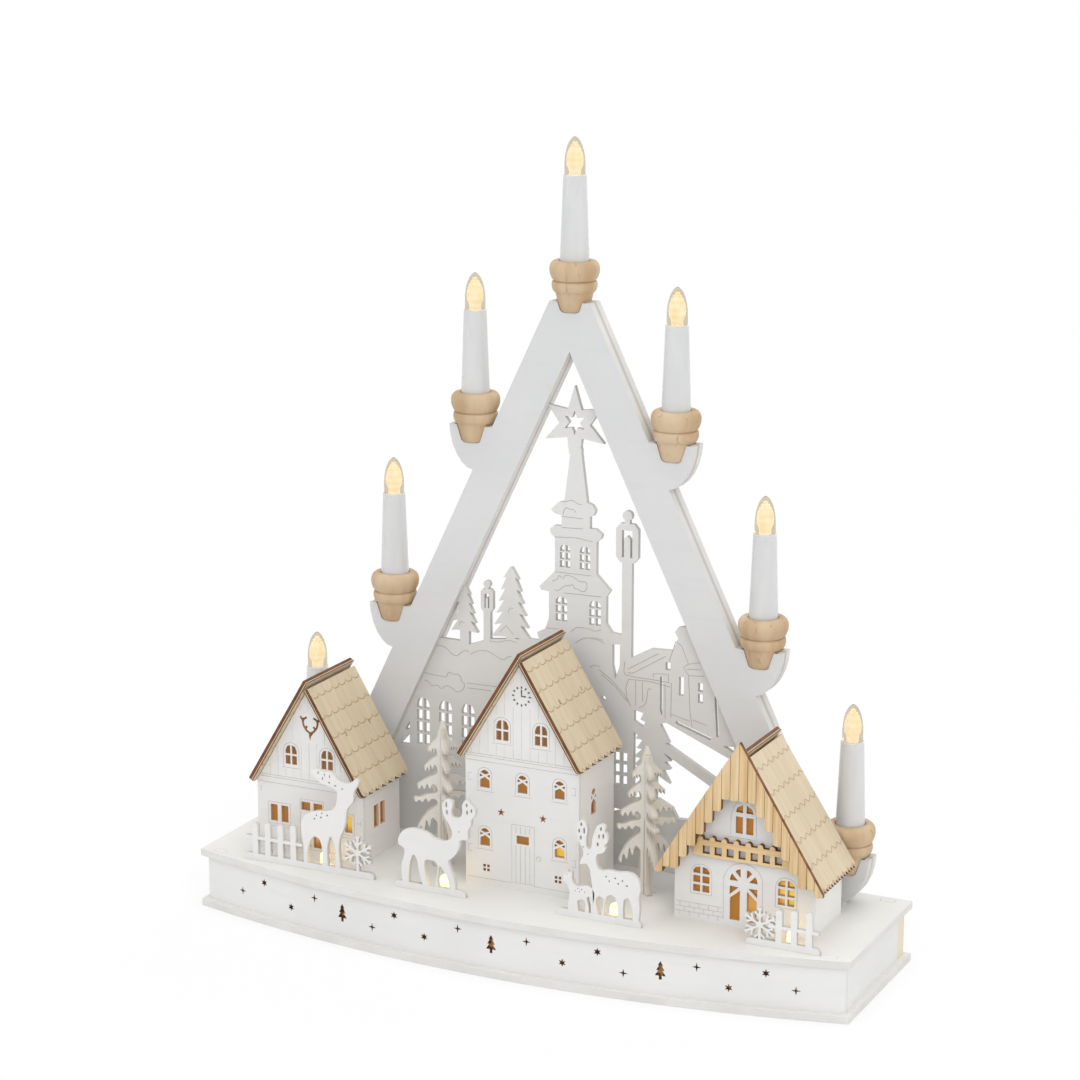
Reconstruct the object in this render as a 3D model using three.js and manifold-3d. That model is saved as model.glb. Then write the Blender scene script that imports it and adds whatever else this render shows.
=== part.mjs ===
import * as THREE from 'three';
import { mergeVertices } from 'three/addons/utils/BufferGeometryUtils.js';
import Module from 'manifold-3d';

const wasm = await Module();
wasm.setup();

// A wooden window light: a bow-fronted box carries a triangular candle frame with seven electric
// candles, a village panel inside the frame, three lit houses, two slotted trees and four figure
// strips. Millimetres, +Z up, the front faces -Y, and z = 0 is the face that the box stands on.

// Box
const BASE_WIDTH = 400;
const BASE_END_DEPTH = 100;
const FRONT_BOW = 26;
const PLATE_T = 4;
const PANEL_H = 26.7;
const PANEL_T = 3.6;
const PLATE_OVERHANG = 3.5;
const BACK_INSET = 3;
const BACK_T = 4;
const BATTEN_T = 6;
const BATTEN_W = 11;
const BOW_STEPS = 18;
const BOX_TAB_W = 8;
const BOX_TAB_INSET = 9;
const CORNER_GAP = 0.3;
const TAB_SHY = 0.05;

// Candle frame: two boards with the village panel between them
const FRAME_FRONT_Y = 40;
const FRAME_BOARD_T = 5;
const VILLAGE_T = 3;
const APEX_RISE = 323.5;
const APEX_HALF = 12.4;
const ARM_ANGLE = 64.27;
const ARM_WIDTH = 23.1;
const FOOT_TONGUE_W = 16;
const FOOT_TONGUE_DROP = 5;
const SEAT_RISE = 5;
const EAR_DROP = 14;
const EAR_REACH = 13.5;
const EAR_HEIGHT = 25.5;
const EAR_FULLNESS = 1.8;
const EAR_STEPS = 6;

// Candles: heights from the deck to the rim of each cup
const LOWEST_RIM = 41.8;
const TIER_RISE = 110.7;
const TOP_RIM = 341.6;
const CUP_STANDOFF = 20.2;
const CUP_RIM_R = 14;
const CUP_LIP = 4.5;
const CUP_GROOVE_R = 12;
const CUP_GROOVE_DROP = 6.4;
const CUP_BEAD_R = 12.7;
const CUP_BEAD_DROP = 9;
const CUP_BEAD_FOOT = 12.3;
const CONE_TOP_R = 10.6;
const CONE_TOP_DROP = 13;
const CONE_END_R = 6.25;
const CONE_END_DROP = 24;
const CUP_BORE_R = 4;
const SOCKET_DEPTH = 9.4;
const SHAFT_FOOT_R = 8.15;
const SHAFT_TOP_R = 6.4;
const SHAFT_RISE = 51.5;
const SHAFT_BORE_R = 4.6;
const LAMP_R = 5.75;
const LAMP_RISE = 20.7;
const LAMP_COLLAR_H = 3.4;
const LAMP_PLUG_DEPTH = 7;
const TURNED_GAP = 0.3;

// Wiring: flat leads in grooves of the rear frame board, a bus in the box and small lamps
const LEAD_W = 1.4;
const LEAD_T = 1.2;
const GROOVE_GAP = 0.4;
const LEAD_DROP = 4;
const LEAD_TAIL = 8;
const BUS_DROP = 0.8;
const BRANCH_SHY = 0.15;
const SUPPLY_OFFSET = 10;
const LAMP_DOME_R = 2.5;
const LAMP_DOME_RISE = 8.6;
const LAMP_DOME_SKIRT = 6.1;
const LAMP_DOME_FOOT = 1;
const DOME_GAP = 0.3;
const DECK_LAMPS = [[-120, -31], [-41, -34], [63, -33], [164, -28], [-118, 0], [14, 0], [150, 0]];

// Battery box with three AA cells and a door that slides out at the back
const CELL_R = 7.25;
const CELL_L = 50.5;
const CELL_PITCH = 15.1;
const CELL_COUNT = 3;
const CELL_GAP = 0.5;
const CELL_NUB_R = 2.7;
const CELL_NUB_H = 1.2;
const CELL_EDGE = 0.4;
const CONTACT_GAP = 0.9;
const BOX_WALL = 1.6;
const BATTERY_X = 0;
const BATTERY_Y = 12;
const DOOR_T = 1.8;
const DOOR_MARGIN = 3;
const DOOR_TONGUE = 1;
const DOOR_TONGUE_T = 0.9;
const DOOR_GAP = 0.3;
const GRIP_W = 16;
const GRIP_COUNT = 3;
const GRIP_PITCH = 3;
const GRIP_DEPTH = 0.5;

// Slide switch on the back panel
const SWITCH_X = 70;
const SWITCH_W = 19;
const SWITCH_H = 8;
const SWITCH_D = 7;
const SLIDER_W = 4;
const SLIDER_H = 3;
const SLIDER_PROUD = 2.2;
const SLIDER_TRAVEL = 4;
const SLIDER_GAP = 0.3;
const SLIDER_RIB_PITCH = 1.2;
const SLIDER_RIB_DEPTH = 0.5;

// Houses
const WALL_T = 3;
const ROOF_T = 3;
const ROOF_GAP = 0.3;
const SCALLOP_DEPTH = 2.2;
const SHINGLE_PITCH = 7.7;
const CLADDING_T = 3;
const CLADDING_PEAK = 6.1;
const CLADDING_HALF = 48.6;
const CLADDING_END = [29, 27.4];
const CLADDING_TOOTH = 31;
const PLANK_W = 4.9;
const PLANK_DROP = 7.05;
const PLANK_STEPS = 6;
const RAIL_T = 3;
const RAIL_HALF = 28.4;
const RAIL_FOOT = 38;
const RAIL_TOP = 47.4;
const RAIL_SCALLOP = 2.2;
const RAIL_COUNT = 7;
const RAIL_PITCH = 6.95;
const RAIL_SLOT = [4.1, 2.2, 3.4];

// Trees and figures
const TREE_T = 3;
const TREE_SLOT_GAP = 0.4;
const TREE_TRUNK_HALF = 3.6;
const TREE_H = 85.6;
const TREE_TURN = 45;
const TREE_SPOTS = { tree_left: [-61, 1.8], tree_right: [62, 10] };
const TREE_TIP = 1.5;
const FIGURE_T = 3;
const STRIP_H = 3.8;
const FIGURE_TAB_W = 8;
const FIGURE_TAB_DROP = 3.6;
const TAB_GAP = 0.2;

// Levels and lines that follow
const DECK = 2 * PLATE_T + PANEL_H;
const PANEL_Z = PLATE_T;
const BACK_Y = (BASE_END_DEPTH + FRONT_BOW) / 2;
const BOW_R = ((BASE_WIDTH / 2) ** 2 + FRONT_BOW ** 2) / (2 * FRONT_BOW);
const BOW_Y = BACK_Y - BASE_END_DEPTH - FRONT_BOW + BOW_R;
const PANEL_HALF = BASE_WIDTH / 2 - PLATE_OVERHANG;
const BACK_FACE = BACK_Y - BACK_INSET;
const BACK_INNER = BACK_FACE - BACK_T;
const VILLAGE_Y = FRAME_FRONT_Y + FRAME_BOARD_T;
const REAR_Y = VILLAGE_Y + VILLAGE_T;
const CANDLE_Y = FRAME_FRONT_Y + FRAME_BOARD_T + VILLAGE_T / 2;
const ARM_RUN = 1 / Math.tan(THREE.MathUtils.degToRad(ARM_ANGLE));
const ARM_SPAN = ARM_WIDTH / Math.sin(THREE.MathUtils.degToRad(ARM_ANGLE));
const APEX_Z = DECK + APEX_RISE;

const outerX = (z) => APEX_HALF + ARM_RUN * (APEX_Z - z);
const innerX = (z) => outerX(z) - ARM_SPAN;
const trunkX = (z) => outerX(z) - ARM_SPAN / 2;
const coneR = (drop) => CONE_TOP_R
  + (CONE_END_R - CONE_TOP_R) * (drop - CONE_TOP_DROP) / (CONE_END_DROP - CONE_TOP_DROP);
const tiers = [2, 1, 0].map((n) => {
  const rim = DECK + LOWEST_RIM + n * TIER_RISE;
  return { rim, x: outerX(rim) + CUP_STANDOFF };
});
const topRim = DECK + TOP_RIM;

// Materials
const paint = (color, roughness, metalness = 0) =>
  new THREE.MeshStandardMaterial({ color, roughness, metalness });
const white = () => paint(0xeeeeec, 0.6);
const plywood = () => paint(0xdcb982, 0.65);
const turnedWood = () => paint(0xd9b48a, 0.6);
const wax = () => paint(0xf4f4f2, 0.35);
const lampClear = () => paint(0xffe9b0, 0.15);
const plastic = () => paint(0x2b2b2d, 0.5);

// Outlines
const shapeOf = (points) => new THREE.Shape(points.map(([x, y]) => new THREE.Vector2(x, y)));
const mirror = (half) => [...half, ...half.map(([x, y]) => [-x, y]).reverse()];
const shift = (points, dx, dy, sx = 1, sy = 1) => points.map(([x, y]) => [dx + sx * x, dy + sy * y]);
const rect = (x0, x1, y0, y1) => [[x0, y0], [x1, y0], [x1, y1], [x0, y1]];
const onDeck = (points) => shift(points, 0, DECK);

function disc(cx, cy, r, steps = 12) {
  return Array.from({ length: steps }, (_, i) => {
    const a = 2 * Math.PI * i / steps;
    return [cx + r * Math.cos(a), cy + r * Math.sin(a)];
  });
}

function star(cx, cy, outer, inner, tips, turn = Math.PI / 2) {
  return Array.from({ length: 2 * tips }, (_, i) => {
    const a = turn + Math.PI * i / tips;
    const r = i % 2 ? inner : outer;
    return [cx + r * Math.cos(a), cy + r * Math.sin(a)];
  });
}

// Boards
const extrude = (points, depth) =>
  new THREE.ExtrudeGeometry(shapeOf(points), { depth, bevelEnabled: false });

// Outline in x and z, front face at y
function upright(points, y, thickness) {
  return extrude(points, thickness).applyMatrix4(new THREE.Matrix4().set(
    1, 0, 0, 0, 0, 0, -1, y + thickness, 0, 1, 0, 0, 0, 0, 0, 1));
}

// Outline in x and y, underside at z
const lying = (points, z, thickness) => extrude(points, thickness).translate(0, 0, z);

// Outline in y and z, left face at x
function endwise(points, x, thickness) {
  return extrude(points, thickness).applyMatrix4(new THREE.Matrix4().set(
    0, 0, 1, x, 1, 0, 0, 0, 0, 1, 0, 0, 0, 0, 0, 1));
}

const block = (x0, x1, y0, y1, z0, z1) => new THREE.BoxGeometry(x1 - x0, y1 - y0, z1 - z0)
  .translate((x0 + x1) / 2, (y0 + y1) / 2, (z0 + z1) / 2);

// Profile of [radius, height], turned about a vertical axis
function turned(profile, segments) {
  return new THREE.LatheGeometry(profile.map(([r, h]) => new THREE.Vector2(r, h)), segments)
    .applyMatrix4(new THREE.Matrix4().set(1, 0, 0, 0, 0, 0, -1, 0, 0, 1, 0, 0, 0, 0, 0, 1));
}

function solid(geometry) {
  const bare = geometry.clone();
  bare.deleteAttribute('normal');
  bare.deleteAttribute('uv');
  const merged = mergeVertices(bare, 1e-4);
  return new wasm.Manifold(new wasm.Mesh({
    numProp: 3,
    vertProperties: new Float32Array(merged.attributes.position.array),
    triVerts: new Uint32Array(merged.index.array),
  }));
}

function surface(body) {
  const { vertProperties, triVerts } = body.getMesh();
  const geometry = new THREE.BufferGeometry();
  geometry.setAttribute('position', new THREE.BufferAttribute(new Float32Array(vertProperties), 3));
  geometry.setIndex(new THREE.BufferAttribute(new Uint32Array(triVerts), 1));
  geometry.computeVertexNormals();
  return geometry;
}

const joined = (list) => list.map(solid).reduce((a, b) => a.add(b));
const cut = (body, tools) => (tools.length ? body.subtract(joined(tools)) : body);

const group = new THREE.Group();
function addPiece(name, body, material, parent = group) {
  const geometry = body.isBufferGeometry ? body : surface(body);
  const mesh = new THREE.Mesh(geometry, material);
  mesh.name = name;
  parent.add(mesh);
  return mesh;
}

// Box: plan lines with the bowed front
const bowY = (x, inset) => BOW_Y - Math.sqrt((BOW_R - inset) ** 2 - x * x);

function bowLine(x0, x1, inset, steps = BOW_STEPS) {
  return Array.from({ length: steps + 1 }, (_, i) => {
    const x = x0 + (x1 - x0) * i / steps;
    return [x, bowY(x, inset)];
  });
}

const platePlan = () => [...bowLine(-BASE_WIDTH / 2, BASE_WIDTH / 2, 0),
  [BASE_WIDTH / 2, BACK_Y], [-BASE_WIDTH / 2, BACK_Y]];
const bowBand = (x0, x1, outer, inner, steps) => [...bowLine(x0, x1, outer, steps),
  ...bowLine(x0, x1, inner, steps).reverse()];

const PANEL_IN = PLATE_OVERHANG + PANEL_T;
const sideFront = bowY(PANEL_HALF, PANEL_IN) + CORNER_GAP;
const sideBack = BACK_INNER - BATTEN_T;
const boxTabX = PANEL_HALF - BOX_TAB_INSET;
const boxTabs = [-1, 1].map((s) => [s * boxTabX - BOX_TAB_W / 2, s * boxTabX + BOX_TAB_W / 2]);

// Star and tree cut-outs: distance along the panel, height from its middle line, kind
const PANEL_ART = [
  [-171, -2.25, 4], [-153.8, 6.35, 6], [-133.6, -3.85, 6], [-116.3, 5.35, 4], [-96.5, 0.75, 0],
  [-76, -3.55, 4], [-61.1, 6.35, 6], [-41.4, -2.45, 6], [-20, 6.35, 4], [0.7, 0.95, 0],
  [22.1, 5.95, 4], [43.3, -2.75, 6], [63.6, 6.45, 6], [78.4, -3.55, 4], [99.2, 0.75, 0],
  [119.2, 5.15, 4], [136.8, -4.45, 6], [156.7, 5.85, 6], [172.9, -2.45, 4],
];
const ART_TREE = mirror([[0, 5.4], [1.5, 2.8], [0.8, 2.8], [2.3, 0], [1.1, 0], [3.1, -3], [0.8, -3],
  [0.8, -5.2]].slice(1)).concat([[0, 5.4]]);

function panelArt() {
  const r = BOW_R - PLATE_OVERHANG;
  return PANEL_ART.map(([along, rise, kind]) => {
    const a = along / r;
    const points = kind ? star(0, 0, kind === 4 ? 2.7 : 2.4, kind === 4 ? 0.7 : 1.1, kind) : ART_TREE;
    return upright(points, -PANEL_T - 2, 2 * PANEL_T + 4)
      .applyMatrix4(new THREE.Matrix4().makeRotationZ(a))
      .translate(r * Math.sin(a), BOW_Y - r * Math.cos(a), PANEL_Z + PANEL_H / 2 + rise);
  });
}

function figureTabs(x0, x1) {
  return [x0 + FIGURE_TAB_W, x1 - FIGURE_TAB_W];
}

// Figure strips: x range, front face and outlines from the deck up
const picket = (x, top, half = 1.8) => [[x - half, 0], [x + half, 0], [x + half, top - 1.2],
  [x, top], [x - half, top - 1.2]];
const STANDING_STAG = [
  [3.5, 1], [2.9, 14.6], [4.3, 19.1], [4.5, 22.6], [3.1, 24.4], [1.3, 24.9], [0.6, 27.3], [1.7, 30.8],
  [3.9, 33.7], [7.4, 35.4], [11.3, 35.8], [15.9, 35.4], [20, 34.1], [22.8, 32.4], [26.3, 31.5],
  [29.8, 31.4], [32.6, 32.6], [34.5, 34.9], [34.7, 37.5], [33.7, 40.3], [29.2, 48], [28.9, 53.4],
  [30.3, 55.4], [32.8, 56.1], [34.8, 55.3], [35.2, 53.9], [34.2, 48.4], [34.9, 46.4], [37.5, 45.9],
  [39.7, 46.7], [40.9, 48.5], [41.5, 54.9], [42.8, 57], [44.2, 57.5], [46, 55.6], [47.9, 54],
  [49.4, 51.7], [48.6, 48.4], [46.6, 46.1], [46.5, 43.2], [44.7, 40], [44, 34.1], [41.6, 33.9],
  [39.6, 33], [39.3, 30.1], [37.4, 25.9], [34.6, 22.2], [32.3, 20.3], [32.8, 17.4], [36, 9.4],
  [36.8, 1], [33.7, 1], [30, 13], [27, 16.3], [26, 13], [25.9, 1], [23.2, 1], [23.4, 18.8], [20.6, 19],
  [17.9, 18.6], [17.4, 13], [20.6, 1], [16.9, 1], [13.5, 12.3], [12.5, 17.7], [10.4, 20.7], [9, 18.2],
  [7.5, 10.7], [7.2, 1]];
const RESTING_STAG = [
  [37.1, 1], [37.9, 11.8], [37.4, 16.2], [38.3, 23.3], [37.4, 26.6], [35, 29.2], [31.7, 30.4],
  [24.5, 29.8], [18.9, 30.1], [15.9, 29.3], [14.1, 29.8], [12.6, 31.8], [12, 34.9], [12.3, 37.5],
  [16.8, 40.1], [17.6, 42.4], [16.8, 43.6], [18.4, 45.3], [18.9, 48], [18.2, 50.3], [17.1, 51.5],
  [17.5, 53.8], [16.7, 55.3], [14.1, 55.3], [10.5, 49.2], [7.6, 40.5], [6.6, 41], [6.1, 44.1],
  [6.5, 53], [5, 55.6], [3.2, 56.3], [1.7, 55.1], [0.5, 52.1], [0.4, 48.3], [4.3, 36.2], [2.6, 32.7],
  [2.4, 31.1], [6.6, 31.6], [7.9, 29.8], [8.8, 26.1], [10.7, 1], [14, 1], [13.9, 14.2], [14.8, 14.3],
  [14.9, 1], [17.2, 1], [17.6, 12.3], [18.9, 15.3], [20.9, 16.3], [22.9, 15.7], [24.6, 10.9],
  [25.1, 1], [28.4, 1], [28.3, 10.8], [29, 14.8], [30.8, 16], [33.1, 12.3], [34, 1]];
const FAWN = [
  [3.2, 1], [3.5, 8.6], [4.3, 11.9], [3.1, 17.5], [2.3, 19], [0.8, 19.7], [0.4, 20.9], [1.8, 25.3],
  [2.8, 26.1], [3.6, 24.9], [4.6, 26], [5.6, 25.3], [5.6, 22.4], [6.7, 19.3], [8, 18.2], [14.3, 19.2],
  [17.3, 18.5], [19, 16.3], [19.3, 13.8], [18.7, 9.8], [18.7, 1], [16.9, 1], [16.9, 9.5], [15.7, 13.2],
  [14.7, 12], [15.7, 8], [15.7, 1], [13.2, 1], [12.4, 10.7], [10, 10.3], [10, 1], [5.7, 1]];
const CALLING_STAG = [
  [1.7, 1], [1.8, 11.7], [0.4, 24.9], [0.8, 28.9], [2.9, 31.9], [7.4, 34.6], [22.7, 39.8],
  [24.1, 43.7], [24.3, 49], [12.1, 53.8], [7.9, 59.8], [11.6, 60.9], [15.2, 59.6], [19.5, 60.2],
  [26.6, 55.2], [30.9, 54.9], [33.8, 56], [36.7, 58.3], [38.2, 57.3], [35.3, 50.6], [34.5, 44.6],
  [31, 40.1], [29.4, 31.3], [27.9, 26.4], [26.4, 23.5], [25.7, 1], [22.2, 1], [22.3, 16.3], [20.9, 20],
  [19.5, 21.8], [18.3, 19], [17.7, 1], [13.4, 1], [13.5, 16.2], [11.8, 19.6], [9.2, 20.2], [7, 18.5],
  [5.1, 14.2], [4.5, 1]];

// A snowflake of crossed bars with a pair of twigs on every arm
const FLAKE_R = 9.7;
const FLAKE_BAR = 1.7;
const FLAKE_TWIG = 1.3;
function flake(cx, cz, foot) {
  const at = (r, turns) => [cx + r * Math.cos(Math.PI * turns / 3), cz + r * Math.sin(Math.PI * turns / 3)];
  const arms = Array.from({ length: 6 }, (_, i) => i + 0.5);
  return [...[0.5, 1.5, 2.5].map((a) => [at(FLAKE_R, a), at(-FLAKE_R, a)]),
    [[cx, cz], [cx, foot]]].flatMap((line) => bands(line, FLAKE_BAR, 0))
    .concat(arms.flatMap((a) => bands([at(0.86 * FLAKE_R, a + 0.42), at(0.5 * FLAKE_R, a),
      at(0.86 * FLAKE_R, a - 0.42)], FLAKE_TWIG)));
}

const FIGURES = [
  { name: 'figure_deer_fence', x0: -169, x1: -83.5, y: -39.5, parts: [
    picket(-161.4, 22.6), picket(-153.1, 23.4), picket(-144.7, 23.8), picket(-136.2, 24.6),
    rect(-167.6, -131, 12.6, 14.4), shift(CALLING_STAG, -131, 0), ...flake(-94, 14.6, 2)] },
  { name: 'figure_deer', x0: -69, x1: -24, y: -42, parts: [shift(STANDING_STAG, -67, 0)] },
  { name: 'figure_deer_fawn', x0: 31.5, x1: 82, y: -41, parts: [
    shift(RESTING_STAG, 43, 0), shift(FAWN, 35, 0)] },
  { name: 'figure_fence', x0: 140.5, x1: 182.5, y: -36, parts: [
    picket(159.2, 22), picket(167.7, 22.9), picket(176.2, 23.4), rect(153, 181.6, 11, 12.8),
    ...flake(148.4, 11.6, 2)] },
];

function buildFigures() {
  for (const { name, x0, x1, y, parts } of FIGURES) {
    const pieces = [upright(onDeck(rect(x0, x1, 0, STRIP_H)), y, FIGURE_T),
      ...parts.map((p) => upright(onDeck(p), y, FIGURE_T)),
      ...figureTabs(x0, x1).map((x) => block(x - FIGURE_TAB_W / 2, x + FIGURE_TAB_W / 2,
        y, y + FIGURE_T, DECK - FIGURE_TAB_DROP, DECK + STRIP_H / 2))];
    addPiece(name, joined(pieces), white());
  }
}

// Battery box sizes that the bottom plate shares
const cellsDepth = CELL_COUNT * CELL_PITCH;
const boxHalfX = CELL_L / 2 + CONTACT_GAP + BOX_WALL;
const boxHalfY = cellsDepth / 2 + CELL_GAP + BOX_WALL;
const doorHalfX = boxHalfX + DOOR_MARGIN;
const doorHalfY = boxHalfY + DOOR_MARGIN;
const doorZ = DOOR_GAP;
const doorTop = doorZ + DOOR_T;
const cavityTop = doorTop + DOOR_GAP;
const cellZ = cavityTop + CELL_GAP + CELL_R;
const boxRoofZ = cellZ + CELL_R + CELL_GAP;
const doorFrontY = BATTERY_Y - doorHalfY;
const doorBackY = BATTERY_Y + doorHalfY;

// Wiring levels
const tongueEnd = DECK - PLATE_T - FOOT_TONGUE_DROP;
const busTop = tongueEnd - BUS_DROP;
const busZ = busTop - LEAD_W;
const leadY = REAR_Y + TURNED_GAP;
const footX = trunkX(DECK);

function buildBox() {
  const panelTop = DECK - PLATE_T;
  const tabSlots = boxTabs.flatMap(([x0, x1]) => [
    lying(bowBand(x0 - TAB_GAP, x1 + TAB_GAP, PLATE_OVERHANG - TAB_GAP, PANEL_IN + TAB_GAP, 2),
      panelTop - 1, PLATE_T + 2),
    block(x0 - TAB_GAP, x1 + TAB_GAP, BACK_INNER - TAB_GAP, BACK_FACE + TAB_GAP,
      panelTop - 1, DECK + 1)]);
  const tongueSlots = [-1, 1].map((s) => block(s * footX - FOOT_TONGUE_W / 2 - TAB_GAP,
    s * footX + FOOT_TONGUE_W / 2 + TAB_GAP, REAR_Y - TAB_GAP, REAR_Y + FRAME_BOARD_T + TAB_GAP,
    panelTop - 1, DECK + 1));
  const lampHoles = DECK_LAMPS.map(([x, y]) =>
    lying(disc(x, y, LAMP_DOME_R + DOME_GAP, 10), panelTop - 1, PLATE_T + 2));
  const figureSlots = FIGURES.flatMap(({ x0, x1, y }) => figureTabs(x0, x1).map((x) =>
    block(x - FIGURE_TAB_W / 2 - TAB_GAP, x + FIGURE_TAB_W / 2 + TAB_GAP,
      y - TAB_GAP, y + FIGURE_T + TAB_GAP, panelTop - 1, DECK + 1)));
  const top = solid(lying(platePlan(), panelTop, PLATE_T));
  addPiece('base_top_plate',
    cut(top, [...tabSlots, ...tongueSlots, ...lampHoles, ...figureSlots]), white());

  const bottom = solid(lying(platePlan(), 0, PLATE_T));
  const grooveZ = doorTop - DOOR_TONGUE_T - DOOR_GAP;
  const doorway = [
    block(BATTERY_X - doorHalfX - DOOR_GAP, BATTERY_X + doorHalfX + DOOR_GAP,
      doorFrontY - DOOR_GAP, BACK_Y + 1, -1, cavityTop),
    block(BATTERY_X - doorHalfX - DOOR_TONGUE - DOOR_GAP, BATTERY_X + doorHalfX + DOOR_TONGUE
      + DOOR_GAP, doorFrontY - DOOR_GAP, BACK_Y + 1, grooveZ, cavityTop),
    block(BATTERY_X - boxHalfX - DOOR_GAP, BATTERY_X + boxHalfX + DOOR_GAP,
      BATTERY_Y - boxHalfY - DOOR_GAP, BATTERY_Y + boxHalfY + DOOR_GAP, 0, PLATE_T + 1),
  ];
  addPiece('base_bottom_plate', cut(bottom, doorway), white());

  const front = joined([
    lying(bowBand(-PANEL_HALF, PANEL_HALF, PLATE_OVERHANG, PANEL_IN, BOW_STEPS), PANEL_Z, PANEL_H),
    ...boxTabs.map(([x0, x1]) => lying(bowBand(x0, x1, PLATE_OVERHANG + TAB_SHY, PANEL_IN - TAB_SHY, 2),
      panelTop - 1, PLATE_T + 1))]);
  addPiece('base_front_panel', cut(front, panelArt()), white());

  const side = (x0) => block(x0, x0 + PANEL_T, sideFront, sideBack, PANEL_Z, PANEL_Z + PANEL_H);
  addPiece('base_left_side', side(-PANEL_HALF), white());
  addPiece('base_right_side', side(PANEL_HALF - PANEL_T), white());

  const slot = block(SWITCH_X - (SLIDER_W + SLIDER_TRAVEL) / 2 - SLIDER_GAP,
    SWITCH_X + (SLIDER_W + SLIDER_TRAVEL) / 2 + SLIDER_GAP, BACK_INNER - 1, BACK_FACE + 1,
    PANEL_Z + PANEL_H / 2 - SLIDER_H / 2 - SLIDER_GAP, PANEL_Z + PANEL_H / 2 + SLIDER_H / 2
    + SLIDER_GAP);
  const inner = PANEL_HALF - BATTEN_W;
  const back = joined([
    lying([[-PANEL_HALF, BACK_FACE], [-PANEL_HALF, sideBack], [-inner, sideBack],
      [-inner, BACK_INNER], [inner, BACK_INNER], [inner, sideBack], [PANEL_HALF, sideBack],
      [PANEL_HALF, BACK_FACE]], PANEL_Z, PANEL_H),
    ...boxTabs.map(([x0, x1]) => block(x0, x1, BACK_INNER + TAB_SHY, BACK_FACE - TAB_SHY,
      panelTop - 1, DECK))]);
  addPiece('base_back_panel', cut(back, [slot]), plywood());
}

function buildPower() {
  const shell = joined([
    block(BATTERY_X - boxHalfX, BATTERY_X + boxHalfX, BATTERY_Y - boxHalfY,
      BATTERY_Y + boxHalfY, cavityTop, boxRoofZ + BOX_WALL),
    block(BATTERY_X - boxHalfX - DOOR_MARGIN, BATTERY_X + boxHalfX + DOOR_MARGIN,
      BATTERY_Y - boxHalfY - DOOR_MARGIN, BATTERY_Y + boxHalfY + DOOR_MARGIN,
      PLATE_T, PLATE_T + BOX_WALL)]);
  const hollow = block(BATTERY_X - boxHalfX + BOX_WALL, BATTERY_X + boxHalfX - BOX_WALL,
    BATTERY_Y - boxHalfY + BOX_WALL, BATTERY_Y + boxHalfY - BOX_WALL, 0, boxRoofZ);
  addPiece('battery_box', cut(shell, [hollow]), plastic());

  const end = CELL_L / 2;
  const shoulder = end - CELL_NUB_H;
  const cell = turned([[0, -end], [CELL_R - CELL_EDGE, -end], [CELL_R, CELL_EDGE - end],
    [CELL_R, shoulder - CELL_EDGE], [CELL_R - CELL_EDGE, shoulder], [CELL_NUB_R, shoulder],
    [CELL_NUB_R, end], [0, end]], 14);
  for (let i = 0; i < CELL_COUNT; i += 1) {
    const mesh = addPiece(`battery_${i + 1}`, cell.clone(), paint(0x3c6e4a, 0.35, 0.4));
    mesh.rotation.y = (i % 2 ? -1 : 1) * Math.PI / 2;
    mesh.position.set(BATTERY_X, BATTERY_Y + (i - (CELL_COUNT - 1) / 2) * CELL_PITCH, cellZ);
  }

  const grip = Array.from({ length: GRIP_COUNT }, (_, i) => {
    const y = doorBackY - (i + 2) * GRIP_PITCH;
    return block(BATTERY_X - GRIP_W / 2, BATTERY_X + GRIP_W / 2, y, y + GRIP_PITCH / 3,
      doorZ - 1, doorZ + GRIP_DEPTH);
  });
  const door = joined([
    block(BATTERY_X - doorHalfX, BATTERY_X + doorHalfX, doorFrontY, doorBackY, doorZ, doorTop),
    block(BATTERY_X - doorHalfX - DOOR_TONGUE, BATTERY_X + doorHalfX + DOOR_TONGUE,
      doorFrontY, doorBackY, doorTop - DOOR_TONGUE_T, doorTop)]);
  addPiece('battery_door', cut(door, grip), plastic());

  const midZ = PANEL_Z + PANEL_H / 2;
  const channel = (SLIDER_W + SLIDER_TRAVEL) / 2 + SLIDER_GAP;
  const switchBody = cut(solid(block(SWITCH_X - SWITCH_W / 2, SWITCH_X + SWITCH_W / 2,
    BACK_INNER - SWITCH_D, BACK_INNER, midZ - SWITCH_H / 2, midZ + SWITCH_H / 2)),
  [block(SWITCH_X - channel, SWITCH_X + channel, BACK_INNER - SWITCH_D / 2, BACK_INNER + 1,
    midZ - SLIDER_H / 2 - SLIDER_GAP, midZ + SLIDER_H / 2 + SLIDER_GAP)]);
  addPiece('power_switch_body', switchBody, plastic());

  const sx = SWITCH_X + SLIDER_TRAVEL / 2;
  const knobTop = BACK_FACE + SLIDER_PROUD;
  const knobRibs = [-1, 0, 1].map((i) => {
    const x = sx + i * SLIDER_RIB_PITCH;
    return block(x - SLIDER_RIB_PITCH / 5, x + SLIDER_RIB_PITCH / 5, knobTop - SLIDER_RIB_DEPTH,
      knobTop + 1, midZ - SLIDER_H, midZ + SLIDER_H);
  });
  const slider = solid(block(sx - SLIDER_W / 2, sx + SLIDER_W / 2,
    BACK_INNER - SWITCH_D / 2 + SLIDER_GAP, knobTop,
    midZ - SLIDER_H / 2, midZ + SLIDER_H / 2));
  addPiece('power_switch_slider', cut(slider, knobRibs), plastic());
}

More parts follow.
